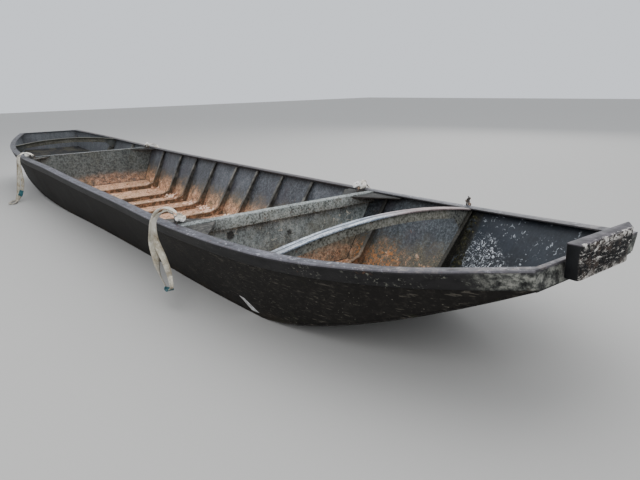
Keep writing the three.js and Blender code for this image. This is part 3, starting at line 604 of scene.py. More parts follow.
def lugFinish():
    # lifting lugs and the wire tie: brown grey coating with patches of rust
    p = Paint("lugFinish", Specular_IOR_Level=0.35)
    rust, patches, grain = rustColour(p, 1.8)
    p.base = p.mix(p.step(patches, 0.52, 0.66) * 0.5, (0.075, 0.068, 0.064), rust)
    return p.done(0.6 + grain * 0.3, p.bump(grain + patches, 0.0018, 0.8))


def blockFinish():
    # bow block: smooth black, its front face scuffed white
    p = Paint("blockFinish", Specular_IOR_Level=0.16)
    x, y, z = p.axes()
    fine = p.noise(120, 4, 0.6)
    broad = p.noise(9, 5, 0.6)
    p.base = p.mix(p.step(broad, 0.4, 0.65), (0.0030, 0.0032, 0.0036), (0.0080, 0.0082, 0.0092))
    front = p.step(x, 3.856, 3.8625)
    flakes = p.step(p.noise(58, 8, 0.82, 0.5, over=p.stretched(1, 0.38, 1.5)), 0.540, 0.580)
    brown = p.spots(24, 0.44, 0.60, 5, 0.65, (3, 3, 3))
    p.coat(front * brown * 0.75, (0.060, 0.044, 0.036))
    rims = p.step(abs(z - 0.583), 0.030, 0.055)
    cream = p.spots(30, 0.47, 0.58, 6, 0.75, (1, 5, 2))
    p.coat(front * (flakes * 0.80 + rims * cream * 0.6).low(1.0), (0.74, 0.70, 0.64))
    top = p.step(z, 0.635, 0.640)
    plum = p.ramp(p.noise(24, 5, 0.65), (0.36, (0.022, 0.020, 0.024)), (0.54, (0.072, 0.063, 0.073)),
                  (0.70, (0.165, 0.148, 0.160)))
    p.coat(top * 0.9, plum)
    ridge = p.step(x, 3.850, 3.856) * p.step(z + y * 0.03, 0.616, 0.632) * p.step(cream, 0.2, 0.8)
    p.coat(ridge * p.step(fine, 0.38, 0.54) * 0.9, (0.74, 0.70, 0.65))
    back = p.step(x, 3.8165, 3.8125) * p.step(fine, 0.42, 0.60)
    p.coat(back * 0.45, (0.22, 0.21, 0.21))
    return p.done(0.40 + fine * 0.2 + front * 0.25, p.bump(fine * 0.3 + flakes * front * 1.2, 0.0016, 0.8))


def webbingFinish(name, pale, soilAndShade):
    # woven strap: ribs along it, darker hems, painted shade along one side, brown stains, cleaner high up
    p = Paint(name, Sheen_Weight=0.2, Specular_IOR_Level=0.25)
    u, v, unused = p.axes(p.node("ShaderNodeUVMap", {"uv_map": "strap"}))
    x, y, z = p.axes()
    soil = p.noise(24, 5, 0.68)
    stain = p.noise(8, 4, shift=(4, 2, 7))
    fine = p.noise(210, 3)
    stops = ((0.38, (0.22, 0.175, 0.115)), (0.45, (0.40, 0.350, 0.260)),
             (0.52, (0.58, 0.540, 0.440)), (0.60, (0.80, 0.78, 0.70)))
    stops = [(place, [c * pale for c in colour]) for place, colour in stops]
    p.base = p.ramp(soil * 0.45 + stain * 0.40 + fine * 0.15, *stops)
    hem = p.step(abs(v - 0.5), 0.40, 0.45)
    p.coat(hem * 0.25, (0.26, 0.225, 0.165))
    # painted shade along one side of the strap
    foldShade = p.step(v + (stain - 0.5) * 0.7, 0.34, 0.16)
    p.coat(foldShade * soilAndShade, (0.20, 0.160, 0.105))
    brown = p.step(p.noise(22, 5, 0.7, over=p.stretched(1, 1, 0.4, shift=(9, 1, 3))), 0.54, 0.64)
    p.coat(brown * soilAndShade, (0.145, 0.098, 0.058))
    wet = p.step(z, 0.32, 0.16) * p.step(stain, 0.44, 0.58)
    p.coat(wet * soilAndShade * 0.9, (0.165, 0.120, 0.075))
    clean = p.step(z, 0.36, 0.45) * p.step(soil, 0.60, 0.46)
    p.coat(clean * 0.8, [min(0.93, c * pale) for c in (0.90, 0.85, 0.76)])
    ribs = (v * 150.0).wave() * 0.5 + (u * 2600.0).wave() * 0.3
    heights = ribs + soil * 1.2 + hem * 0.4
    return p.done(0.84 + soil * 0.12, p.bump(heights, 0.0007, 0.8))


def stickerFinish():
    p = Paint("stickerFinish")
    dirt = p.noise(42, 5, 0.65)
    p.base = p.ramp(dirt, (0.34, (0.30, 0.29, 0.27)), (0.52, (0.56, 0.56, 0.55)), (0.70, (0.70, 0.70, 0.69)))
    return p.done(0.45 + dirt * 0.25, p.bump(dirt, 0.0003))


def dustyFinish(name, scale, rough, gloss, grain, depth, *stops, **fixed):
    # one soil pattern over a plain thing; gloss is the least roughness and what soil adds to it
    p = Paint(name, **fixed)
    soil = p.noise(scale, 5, rough)
    p.base = p.ramp(soil, *stops)
    return p.done(gloss[0] + soil * gloss[1], p.bump(p.noise(*grain), depth))


def litterFinish(name, scale, gloss, grain, *stops):
    # each flake or leaf has its own tint
    p = Paint(name, Specular_IOR_Level=0.25)
    hue, value, unused = p.axes(p.cells(scale, out="Color"))
    p.base = p.ramp(hue, *stops)
    return p.done(gloss[0] + value * gloss[1], p.bump(p.noise(grain, 3), 0.0008))


finishes = {
    "tar": tarFinish(), "band": bandFinish(), "inside": insideFinish(), "floor": floorFinish(),
    "gunwale": gunwaleFinish(), "cap": capFinish(), "gusset": gussetFinish(), "flange": flangeFinish(),
    "web": webFinish(), "bulkhead": bulkheadFinish(), "frame": frameFinish(), "rust": rustFinish(),
    "lug": lugFinish(), "block": blockFinish(), "webbing": webbingFinish("webbingFinish", 1.0, 0.5),
    "whiteWebbing": webbingFinish("whiteWebbing", 1.40, 0.12), "sticker": stickerFinish(),
    "teal": dustyFinish("tealFinish", 60, 0.65, (0.7, 0.2), (300, 2), 0.0004,
                        (0.36, (0.008, 0.045, 0.055)), (0.54, (0.014, 0.105, 0.125)),
                        (0.70, (0.075, 0.195, 0.205)), Sheen_Weight=0.15),
    "moss": dustyFinish("mossFinish", 32, 0.7, (0.9, 0.1), (180, 3), 0.0015,
                        (0.38, (0.010, 0.010, 0.007)), (0.52, (0.040, 0.039, 0.022)),
                        (0.66, (0.140, 0.128, 0.075)), Specular_IOR_Level=0.2),
    "weld": dustyFinish("weldFinish", 30, 0.65, (0.6, 0.25), (150, 3), 0.0012,
                        (0.36, (0.016, 0.017, 0.018)), (0.54, (0.050, 0.049, 0.044)),
                        (0.70, (0.125, 0.085, 0.060)), Specular_IOR_Level=0.34),
    "flake": litterFinish("flakeFinish", 45, (0.8, 0.15), 220,
                          (0.05, (0.13, 0.060, 0.034)), (0.35, (0.42, 0.200, 0.105)),
                          (0.65, (0.64, 0.370, 0.230)), (0.95, (0.82, 0.59, 0.44))),
    "leaf": litterFinish("leafFinish", 24, (0.7, 0.2), 160, (0.05, (0.68, 0.36, 0.22)),
                         (0.5, (0.90, 0.62, 0.46)), (0.95, (0.94, 0.80, 0.68))),
}
print("finishes made:", len(finishes))


# working on pieces

def linked(name, data):
    made = bpy.data.objects.new(name, data)
    bpy.context.scene.collection.objects.link(made)
    return made


def nothingSelected():
    bpy.ops.object.select_all(action="DESELECT")


def alone(piece):
    nothingSelected()
    piece.select_set(True)
    bpy.context.view_layer.objects.active = piece


def apply(piece, kind, **settings):
    alone(piece)
    made = piece.modifiers.new(kind.lower(), kind)
    for key, value in settings.items():
        setattr(made, key, value)
    bpy.ops.object.modifier_apply(modifier=made.name)


# merge distances in metres, angles in degrees
skin = {
    "merge": 0.00001, "seamMerge": 0.0004, "flat": 3, "shape": 60, "sharp": 40,
    "smooth": 35, "strapSmooth": 50, "wireSmooth": 55, "litterSmooth": 25,
}


def coated(piece, finish):
    # one finish, or one for each kind of face
    piece.data.materials.clear()
    for one in [finish] if isinstance(finish, str) else finish:
        piece.data.materials.append(finishes[one])


def rounded(piece, degrees):
    # smooth shading across edges up to so many degrees
    alone(piece)
    bpy.ops.object.shade_smooth_by_angle(angle=math.radians(degrees))


def editing(piece):
    # edit mode with the whole mesh selected
    alone(piece)
    bpy.ops.object.mode_set(mode="EDIT")
    bpy.ops.mesh.select_all(action="SELECT")


def edited():
    # back to object mode
    bpy.ops.object.mode_set(mode="OBJECT")


def facedOut(piece, merge=0.0):
    # turns the faces outward, after merging vertices that lie closer than merge
    editing(piece)
    if merge:
        bpy.ops.mesh.remove_doubles(threshold=merge)
    bpy.ops.mesh.normals_make_consistent(inside=False)
    edited()


def drawn(name, spots, radius, finish, swell=None):
    # a round wire or bead drawn as a curve and made a mesh
    curve = bpy.data.curves.new(name, "CURVE")
    curve.dimensions = "3D"
    curve.bevel_depth = radius
    curve.bevel_resolution = 1
    curve.use_fill_caps = True
    spline = curve.splines.new("POLY")
    spline.points.add(len(spots) - 1)
    for i, (point, spot) in enumerate(zip(spline.points, spots)):
        point.co = (*spot, 1)
        point.radius = swell[i] if swell else 1
    alone(linked(name, curve))
    bpy.ops.object.convert(target="MESH")
    piece = bpy.context.object
    facedOut(piece, skin["merge"])
    coated(piece, finish)
    rounded(piece, skin["wireSmooth"])
    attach(piece, "root")


def copied(node):
    mesh = nodes[node].data.copy()
    mesh.transform(nodes[node].matrix_world)
    return linked(node + "Skin", mesh)


def squared():
    # flat pairs of triangles become one face
    bpy.ops.mesh.tris_convert_to_quads(face_threshold=math.radians(skin["flat"]),
                                        shape_threshold=math.radians(skin["shape"]))
    edited()


def dressed(piece, finish, bevel, *names):
    # finish and eased edges for a piece that stands for the named CAD nodes
    coated(piece, finish)
    if bevel:
        apply(piece, "BEVEL", width=bevel, segments=2, limit_method="ANGLE",
              angle_limit=math.radians(skin["sharp"]))
    rounded(piece, skin["smooth"])
    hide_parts(*names)
    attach(piece, "root")
    return piece


def finished(node, finish, bevel=0.0):
    # a merged copy of one CAD node
    piece = copied(node)
    editing(piece)
    bpy.ops.mesh.remove_doubles(threshold=skin["merge"])
    squared()
    return dressed(piece, finish, bevel, node)


def cornersOf(*names):
    found = []
    for node in names:
        source = nodes[node]
        spots = np.empty(len(source.data.vertices) * 3)
        source.data.vertices.foreach_get("co", spots)
        matrix = np.array(source.matrix_world)
        found.append(spots.reshape(-1, 3) @ matrix[:3, :3].T + matrix[:3, 3])
    return np.vstack(found)


def joined(names, finish, seam, bevel=0.0):
    # the fore and aft lengths of a bar or plate as one piece, welded over their seam
    piece, other = [copied(node) for node in names]
    alone(piece)
    other.select_set(True)
    bpy.ops.object.join()
    editing(piece)
    bpy.ops.mesh.remove_doubles(threshold=skin["merge"])
    bpy.ops.mesh.select_all(action="DESELECT")
    edited()
    for face in piece.data.polygons:
        face.select = abs(face.center.x - seam) < 0.001 and abs(face.normal.x) > 0.9
    bpy.ops.object.mode_set(mode="EDIT")
    bpy.ops.mesh.select_mode(type="FACE")
    bpy.ops.mesh.delete(type="FACE")
    bpy.ops.mesh.select_mode(type="EDGE")
    bpy.ops.mesh.select_non_manifold()
    bpy.ops.mesh.bridge_edge_loops()
    bpy.ops.mesh.select_all(action="SELECT")
    bpy.ops.mesh.remove_doubles(threshold=skin["seamMerge"])
    bpy.ops.mesh.normals_make_consistent(inside=False)
    squared()
    return dressed(piece, finish, bevel, *names)


def measured(piece, names, name, along, value):
    # keeps on each vertex how far value lies between the nodes' least and most at that place along
    spots = cornersOf(*names)
    places = np.array([along(s) for s in spots]).round(4)
    values = np.array([value(s) for s in spots])
    keys = np.unique(places)
    least = np.array([values[places == k].min() for k in keys])
    most = np.array([values[places == k].max() for k in keys])
    kept = piece.data.attributes.new(name, "FLOAT", "POINT")
    for i, vertex in enumerate(piece.data.vertices):
        a = along(vertex.co)
        low, high = np.interp(a, keys, least), np.interp(a, keys, most)
        kept.data[i].value = float((value(vertex.co) - low) / max(high - low, 1e-6))


def faceFinish(piece, index, wanted):
    # gives the faces that wanted(centre, normal) picks another finish
    for face in piece.data.polygons:
        if wanted(face.center, face.normal):
            face.material_index = index


# camera

shot = {
    "place": (4.6621, -1.8110, 1.1268), "heading": math.radians(52.657), "down": math.radians(15.600),
    "roll": 0.0233, "focal": 558.0, "width": 640,
}


def camera():
    turn, down, roll = shot["heading"], shot["down"], shot["roll"]
    ahead = Vector((-math.sin(turn) * math.cos(down), math.cos(turn) * math.cos(down), -math.sin(down)))
    right = Vector((math.cos(turn), math.sin(turn), 0))
    under = ahead.cross(right)
    right, under = (math.cos(roll) * right + math.sin(roll) * under,
                    math.cos(roll) * under - math.sin(roll) * right)
    data = bpy.data.cameras.new("photoCamera")
    data.sensor_width = 36
    data.lens = shot["focal"] / shot["width"] * data.sensor_width
    made = linked("photoCamera", data)
    turned = Matrix((right, -under, -ahead)).transposed()
    made.matrix_world = Matrix.Translation(shot["place"]) @ turned.to_4x4()
    bpy.context.scene.camera = made


camera()


# slings; the routes are those of the part's source, each point as along, out and up from its lug

slings = {
    "wide": 0.040, "thick": 0.0038, "perPoint": 7,
    "lugs": {"fore": (1.900, 0.6458, 0.4375), "aft": (-1.841, 0.6187, 0.4545)},
    "section": ((-1, 0.3), (-0.88, 1), (-0.45, 0.8), (0.45, 0.8), (0.88, 1), (1, 0.3),
                (1, -0.3), (0.88, -1), (0.45, -0.8), (-0.45, -0.8), (-0.88, -1), (-1, -0.3)),
}
highLoop = [
    (0.0064, 0, 0.016), (0.022, 0, 0.016), (0.044, 0.008, 0.034), (0.042, 0.025, 0.057),
    (0.024, 0.046, 0.077), (-0.008, 0.067, 0.085), (-0.040, 0.089, 0.072), (-0.064, 0.108, 0.042),
    (-0.080, 0.119, 0.004), (-0.094, 0.123, -0.047), (-0.104, 0.124, -0.097), (-0.093, 0.125, -0.149),
    (-0.062, 0.126, -0.197), (-0.042, 0.127, -0.241), (-0.016, 0.127, -0.279), (0.032, 0.126, -0.318),
    (0.080, 0.125, -0.336), (0.110, 0.124, -0.316), (0.110, 0.124, -0.281), (0.100, 0.124, -0.243),
    (0.074, 0.123, -0.206), (0.036, 0.122, -0.166), (-0.012, 0.122, -0.126), (-0.050, 0.121, -0.080),
    (-0.066, 0.120, -0.030), (-0.066, 0.115, 0.003), (-0.052, 0.098, 0.034), (-0.030, 0.078, 0.060),
    (-0.018, 0.058, 0.066), (-0.022, 0.038, 0.056), (-0.034, 0.018, 0.038), (-0.024, 0, 0.016),
    (-0.0064, 0, 0.016),
]
lowLoop = [
    (-0.0064, 0, 0.016), (-0.024, 0, 0.016), (-0.062, 0.022, 0.032), (-0.092, 0.046, 0.043),
    (-0.108, 0.072, 0.042), (-0.121, 0.101, 0.022), (-0.136, 0.116, -0.014), (-0.148, 0.125, -0.113),
    (-0.152, 0.142, -0.239), (-0.146, 0.161, -0.344), (-0.138, 0.176, -0.410), (-0.124, 0.194, -0.441),
    (-0.100, 0.216, -0.444), (-0.066, 0.244, -0.444), (-0.024, 0.272, -0.444), (0.036, 0.290, -0.444),
    (0.084, 0.282, -0.444), (0.084, 0.256, -0.444), (0.036, 0.232, -0.444), (-0.016, 0.214, -0.444),
    (-0.052, 0.200, -0.442), (-0.052, 0.186, -0.422), (-0.036, 0.168, -0.386), (-0.028, 0.147, -0.335),
    (-0.028, 0.128, -0.273), (-0.028, 0.124, -0.189), (-0.042, 0.123, -0.105), (-0.056, 0.122, -0.034),
    (-0.061, 0.114, 0.010), (-0.056, 0.092, 0.038), (-0.034, 0.060, 0.050), (0, 0.032, 0.048),
    (0.030, 0.010, 0.032), (0.022, 0, 0.016), (0.0064, 0, 0.016),
]
shortLoop = [
    (-0.0064, 0, 0.016), (-0.022, 0, 0.016), (-0.038, 0.022, 0.026), (-0.042, 0.056, 0.030),
    (-0.041, 0.090, 0.023), (-0.039, 0.114, 0.003), (-0.037, 0.120, -0.030), (-0.038, 0.121, -0.090),
    (-0.043, 0.121, -0.180), (-0.044, 0.121, -0.258), (-0.024, 0.121, -0.304), (0.008, 0.122, -0.318),
    (0.037, 0.123, -0.292), (0.043, 0.123, -0.210), (0.039, 0.123, -0.110), (0.034, 0.122, -0.024),
    (0.031, 0.114, 0.010), (0.028, 0.092, 0.032), (0.028, 0.062, 0.038), (0.034, 0.034, 0.038),
    (0.038, 0.010, 0.028), (0.022, 0, 0.016), (0.0064, 0, 0.016),
]
farLoop = [
    (-0.0064, 0, 0.016), (-0.022, 0, 0.016), (-0.038, 0.022, 0.028), (-0.046, 0.056, 0.034),
    (-0.048, 0.090, 0.024), (-0.048, 0.114, 0.003), (-0.048, 0.120, -0.030), (-0.048, 0.121, -0.090),
    (-0.050, 0.121, -0.180), (-0.054, 0.121, -0.262), (-0.066, 0.121, -0.304), (-0.086, 0.122, -0.312),
    (-0.104, 0.123, -0.285), (-0.108, 0.123, -0.210), (-0.102, 0.123, -0.110), (-0.092, 0.122, -0.024),
    (-0.084, 0.114, 0.012), (-0.066, 0.092, 0.044), (-0.036, 0.062, 0.056), (-0.004, 0.036, 0.052),
    (0.028, 0.012, 0.036), (0.022, 0, 0.016), (0.0064, 0, 0.016),
]
# width at points of the route, how far the strap turns there from the way it would hang, and from
# which point to which a teal sleeve or a white length lies over it
slingShapes = {
    "fore_sling_starboard": {
        "route": highLoop,
        "width": ((0, 0.6), (3, 0.80), (5, 0.95), (7, 0.70), (8.5, 0.75), (10.5, 0.85), (12, 0.95),
                  (13, 0.62), (14, 0.34), (15.2, 0.26), (15.6, 0.9), (16.4, 0.9), (16.9, 0.42), (18, 0.55),
                  (19.2, 0.72), (21, 0.88), (24, 0.76), (26, 0.70), (28, 0.75), (32, 0.6)),
        "turn": ((0, 0), (6, 0), (7.5, 22), (9, 0), (11, -18), (12, -20), (13, 10), (14, 50), (15.1, 58),
                 (15.7, 0), (16.5, 0), (18, 8), (20, 20), (22, 12), (24, 0), (32, 0)),
        "teal": (15.35, 16.65), "white": (16.9, 18.8),
    },
    "fore_sling_port": {
        "route": farLoop,
        "width": ((0, 0.6), (3, 0.7), (5, 0.8), (8, 1.0), (14, 1.0), (17, 0.8), (19, 0.7), (22, 0.6)),
        "turn": ((0, 0), (22, 0)),
    },
    "aft_sling_starboard": {
        "route": lowLoop,
        "width": ((0, 0.6), (4, 0.8), (6, 0.7), (7.5, 0.85), (10, 0.88), (12, 0.7), (14, 0.5), (19, 0.5),
                  (21, 0.8), (23, 0.9), (24.5, 0.8), (26, 0.5), (28, 0.5), (31, 0.7), (34, 0.6)),
        "turn": ((0, 0), (6, 0), (7.5, -34), (10, -34), (11.5, 0), (20.5, 0), (22, 30), (24.5, 34), (26, 10),
                 (28, 0), (34, 0)),
        "teal": (21.8, 23.0),
    },
    "aft_sling_port": {
        "route": shortLoop,
        "width": ((0, 0.6), (3, 0.7), (5, 0.8), (8, 0.95), (14, 0.95), (17, 0.8), (19, 0.7), (22, 0.6)),
        "turn": ((0, 0), (22, 0)),
    },
}
# each knot is three turns of strap: its place, measured as the routes are, its radius and its lean
knots = {
    "fore_sling_starboard": [((0.040, 0.024, 0.026), 0.011, 0.5), ((0.058, 0.004, 0.024), 0.010, 1.7),
                             ((0.049, 0.014, 0.034), 0.008, 2.6)],
    "fore_sling_port": [((-0.026, -0.010, 0.034), 0.015, 0.4), ((-0.004, 0.004, 0.036), 0.014, 1.7),
                        ((-0.016, 0.002, 0.018), 0.014, 2.5)],
    "aft_sling_starboard": [((-0.030, 0.050, 0.034), 0.012, 0.9), ((-0.012, 0.038, 0.030), 0.011, 2.0),
                            ((-0.022, 0.044, 0.042), 0.009, 2.8)],
    "aft_sling_port": [((-0.058, 0.030, 0.032), 0.013, 0.2), ((-0.038, 0.012, 0.030), 0.012, 1.4),
                       ((-0.048, 0.022, 0.040), 0.010, 2.4)],
}


def smoothRoute(points, perPoint):
    # centripetal curve through the points; gives places and the number of the point that each is near
    places, numbers = [], []
    pts = [2 * points[0] - points[1], *points, 2 * points[-1] - points[-2]]
    for i in range(1, len(pts) - 2):
        a, b, c, d = pts[i - 1:i + 3]
        t0 = 0.0
        t1 = t0 + max(np.linalg.norm(b - a), 1e-6) ** 0.5
        t2 = t1 + max(np.linalg.norm(c - b), 1e-6) ** 0.5
        t3 = t2 + max(np.linalg.norm(d - c), 1e-6) ** 0.5
        last = i == len(pts) - 3
        for k in range(perPoint + (1 if last else 0)):
            t = t1 + (t2 - t1) * k / perPoint
            ab = a + (b - a) * (t - t0) / (t1 - t0)
            bc = b + (c - b) * (t - t1) / (t2 - t1)
            cd = c + (d - c) * (t - t2) / (t3 - t2)
            abc = ab + (bc - ab) * (t - t0) / (t2 - t0)
            bcd = bc + (cd - bc) * (t - t1) / (t3 - t1)
            places.append(abc + (bcd - abc) * (t - t1) / (t2 - t1))
            numbers.append(i - 1 + k / perPoint)
    return np.array(places), np.array(numbers)


def unit(v):
    return v / max(np.linalg.norm(v), 1e-9)


def strapWays(tangents):
    # width across the boat where it hangs, along the boat over the gunwale, flat on the ground
    ways, last = [], np.array((0.0, 1.0, 0.0))
    for t in tangents:
        k = min(max((abs(t[1]) - 0.35) / 0.5, 0), 1)
        turned = k * k * (3 - 2 * k)
        choices = [unit(np.array((a, b, 0.0))) for a in (-turned, turned) for b in (turned - 1, 1 - turned)]
        last = max(choices, key=lambda way: way @ last - 2 * abs(way @ t))
        ways.append(last)
    ways = np.array(ways)
    for turns in range(3):
        before, after = np.vstack((ways[:1], ways[:-1])), np.vstack((ways[1:], ways[-1:]))
        ways = before + 2 * ways + after
        ways = ways / np.linalg.norm(ways, axis=1)[:, None]
    return np.array([unit(w - (w @ t) * t) for w, t in zip(ways, tangents)])


def ribbon(name, centres, ways, tangents, widths, thick, finish, cup=None, closed=False):
    # strap through rings about its centres, with its own map: length in metres, then across
    section = slings["section"]
    n = len(section)
    verts = []
    for i, centre in enumerate(centres):
        over = np.cross(tangents[i], ways[i])
        lift = 0 if cup is None else cup[i]
        for u, v in section:
            rise = v * thick / 2 + lift * (u * u - 0.4)
            verts.append(tuple(centre + ways[i] * (u * widths[i] / 2) + over * rise))
    faces = []
    count = len(centres)
    for i in range(count if closed else count - 1):
        for j in range(n):
            a, b = i * n + j, i * n + (j + 1) % n
            c, d = ((i + 1) % count) * n + (j + 1) % n, ((i + 1) % count) * n + j
            faces.append((a, b, c, d))
    if not closed:
        faces.append(tuple(reversed(range(n))))
        faces.append(tuple((count - 1) * n + j for j in range(n)))
    mesh = bpy.data.meshes.new(name)
    mesh.from_pydata(verts, [], faces)
    piece = linked(name, mesh)
    coated(piece, finish)
    rounded(piece, skin["strapSmooth"])
    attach(piece, "root")
    facedOut(piece)
    lengths = np.concatenate(([0], np.cumsum(np.linalg.norm(np.diff(centres, axis=0), axis=1))))
    mapped = piece.data.uv_layers.new(name="strap")
    for loop in piece.data.loops:
        i, j = divmod(loop.vertex_index, n)
        mapped.data[loop.index].uv = (lengths[i], section[j][0] / 2 + 0.5)
    return piece, lengths[-1]


def slingParts():
    for name, shape in slingShapes.items():
        end, word, hand = name.split("_")
        side = 1 if hand == "port" else -1
        lug = np.array(slings["lugs"][end]) * (1, side, 1)
        points = [lug + (a, side * o, u) for a, o, u in shape["route"]]
        centres, numbers = smoothRoute(points, slings["perPoint"])
        tangents = np.array([unit(t) for t in np.gradient(centres, axis=0)])
        ways = strapWays(tangents)
        turns = np.radians(np.interp(numbers, *zip(*shape["turn"]))) * side
        overs = np.cross(tangents, ways)
        ways = ways * np.cos(turns)[:, None] + overs * np.sin(turns)[:, None]
        spread = np.interp(numbers, *zip(*shape["width"]))
        widths = slings["wide"] * spread * (1 + 0.04 * np.sin(numbers * 2.7 + side))
        cup = 0.0036 * np.sin(numbers * 1.1 + 0.6) + 0.007 * (1 - spread)
        thick = slings["thick"]
        band, length = ribbon(name + "Webbing", centres, ways, tangents, widths, thick, "webbing", cup)
        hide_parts(name)
        extras = knotTurns(name, lug, side)
        for part, finish, more in (("teal", "teal", 0.0075), ("white", "whiteWebbing", 0.0012)):
            if part not in shape:
                continue
            first, last = shape[part]
            held = (numbers >= first) & (numbers <= last)
            sleeve, unused = ribbon(f"{name}{part.capitalize()}", centres[held], ways[held], tangents[held],
                                    widths[held] + more, thick + more, finish, cup[held])
            extras.append(sleeve)


def knotTurns(name, lug, side):
    # a knot's turns of strap, pulled tight about the sling
    made = []
    for number, (spot, radius, lean) in enumerate(knots[name]):
        along, out, up = spot
        centre = lug + (along, side * out, up)
        first = np.array((math.cos(lean), math.sin(lean) * 0.6, 0.35))
        axis = unit(np.array((math.sin(lean), -math.cos(lean), 0.5)) * (1, side, 1))
        first = unit(first - (first @ axis) * axis)
        second = np.cross(axis, first)
        angles = np.linspace(0, 2 * math.pi, 40, endpoint=False)
        squeeze = 1 + 0.16 * np.sin(2 * angles + lean) + 0.07 * np.sin(5 * angles)
        rings = np.array([centre + radius * s * (math.cos(a) * first + 0.72 * math.sin(a) * second)
                          + axis * 0.004 * math.sin(3 * a) for a, s in zip(angles, squeeze)])
        tangents = np.array([unit(t) for t in np.roll(rings, -1, axis=0) - np.roll(rings, 1, axis=0)])
        ways = np.array([unit(axis - (axis @ t) * t + 0.25 * math.sin(2 * a) * np.cross(t, axis))
                         for t, a in zip(tangents, angles)])
        widths = radius * (1.75 + 0.25 * np.sin(2 * angles + 1))
        turn, unused = ribbon(f"{name}Knot{number + 1}", rings, ways, tangents, widths, radius * 1.05,
                              "whiteWebbing", 0.002 * np.sin(angles * 3), closed=True)
        made.append(turn)
    return made


slingParts()
print("slings made")


# plating and what is welded to it

def plating():
    for side in ("port", "starboard"):
        hand = 1 if side == "port" else -1
        names = [f"{side}_side_plate_aft", f"{side}_side_plate_fore"]
        piece = joined(names, ["tar", "inside"], hull["sideSeam"])
        faceFinish(piece, 1, lambda c, n: n.y * hand < -0.2)
    for node in ("bottom_plate", "bow_rake_plate", "stern_rake_plate"):
        piece = finished(node, ["tar", "floor"])
        faceFinish(piece, 1, lambda c, n: n.z > 0.3)
    for end, way in (("bow", 1), ("stern", -1)):
        piece = finished(f"{end}_transom", ["tar", "inside"])
        faceFinish(piece, 1, lambda c, n: n.x * way < -0.3)


bevels = {
    "bar": 0.0016, "band": 0.0014, "holdFrame": 0.0020, "endFrame": 0.0016, "cap": 0.0018, "web": 0.0008,
    "flange": 0.0018, "gusset": 0.001, "lug": 0.0015, "block": 0.006, "bracket": 0.001,
}


def gunwales():
    for side in ("port", "starboard"):
        names = [f"{side}_gunwale_bar_aft", f"{side}_gunwale_bar_fore"]
        bar = joined(names, "gunwale", hull["barSeam"], bevels["bar"])
        measured(bar, names, "across", lambda s: s[0], lambda s: abs(s[1]))
        names = [f"{side}_rub_band_aft", f"{side}_rub_band_fore"]
        band = joined(names, "band", hull["barSeam"], bevels["band"])
        measured(band, names, "up", lambda s: s[0], lambda s: s[2])
    for end in ("bow", "stern"):
        name = f"{end}_gunwale_bar"
        bar = finished(name, "gunwale", bevels["bar"])
        measured(bar, [name], "across", lambda s: 0.0, lambda s: abs(s[0]))
        name = f"{end}_rub_band"
        band = finished(name, "band", bevels["band"])
        measured(band, [name], "up", lambda s: 0.0, lambda s: s[2])


def ribs():
    for i in range(1, 10):
        finished(f"hold_frame_{i}", "frame", bevels["holdFrame"])
    for node in ("fore_compartment_frame", "aft_compartment_frame", "fore_beam_frame", "aft_beam_frame"):
        finished(node, "frame", bevels["endFrame"])


def bulkheadsAndBeams():
    for part in ("fore", "aft"):
        finished(f"{part}_bulkhead", "bulkhead")
        finished(f"{part}_bulkhead_cap", "cap", bevels["cap"])
        finished(f"{part}_beam_web", "web", bevels["web"])
        name = f"{part}_beam_flange"
        measured(finished(name, "flange", bevels["flange"]), [name], "across", lambda s: 0.0, lambda s: s[0])
        for side in ("port", "starboard"):
            finished(f"{part}_gusset_bow_{side}", "gusset", bevels["gusset"])
            finished(f"{part}_gusset_stern_{side}", "gusset", bevels["gusset"])
            finished(f"{part}_lifting_lug_{side}", "lug", bevels["lug"])


def fender():
    finished("bow_fender", "block", bevels["block"])
    finished("fender_bracket", "rust", bevels["bracket"])


plating()
gunwales()
ribs()
bulkheadsAndBeams()
fender()
print("plates, bars and frames finished")


# weld beads

welds = {"radius": 0.0036, "lugRadius": 0.0028, "chineRadius": 0.0032, "chineEnd": 3.66, "step": 0.009}


def bead(name, points, radius, finish="weld"):
    # rippled bead drawn as a curve along straight lengths between points
    spots = []
    for a, b in zip(points[:-1], points[1:]):
        a, b = Vector(a), Vector(b)
        count = max(2, int((b - a).length / welds["step"]))
        spots += [a.lerp(b, i / count) for i in range(count)]
    spots.append(Vector(points[-1]))
    ripple = [1 + 0.22 * math.sin(i * 2.1) + 0.12 * math.sin(i * 0.7) for i in range(len(spots))]
    drawn(name, spots, radius, finish, ripple)


def weldBeads():
    for part in ("fore", "aft"):
        spots = cornersOf(f"{part}_bulkhead")
        for face, x in (("Stern", spots[:, 0].min()), ("Bow", spots[:, 0].max())):
            level = spots[abs(spots[:, 0] - x) < 0.001]
            foot = level[level[:, 2] < level[:, 2].min() + 0.01]
            head = level[level[:, 2] > level[:, 2].max() - 0.01]
            y0, y1 = foot[:, 1].max(), head[:, 1].max()
            z0, z1 = foot[:, 2].min() + 0.001, head[:, 2].max()
            corners = [(x, -y1, z1), (x, -y0, z0), (x, y0, z0), (x, y1, z1)]
            bead(f"{part}BulkheadWeld{face}", corners, welds["radius"])
        for side in ("port", "starboard"):
            low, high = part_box(f"{part}_lifting_lug_{side}")
            for word, x in (("Stern", low[0]), ("Bow", high[0])):
                z = low[2] + 0.001
                bead(f"{part}LugWeld{side}{word}", [(x, low[1], z), (x, high[1], z)], welds["lugRadius"])
    # the chine, along the lip of the bottom plating
    plates = cornersOf("stern_rake_plate", "bottom_plate", "bow_rake_plate")
    stations = np.unique(plates[:, 0].round(3))
    lip = []
    for x in stations:
        ring = plates[abs(plates[:, 0] - x) < 0.0006]
        if abs(x) < welds["chineEnd"] and (not lip or x - lip[-1][0] > 0.03):
            lip.append((x, ring[:, 1].max(), ring[:, 2].max()))
    for side, word in ((1, "Port"), (-1, "Starboard")):
        bead(f"chineWeld{word}", [(x, side * y, z) for x, y, z in lip], welds["chineRadius"], "tar")


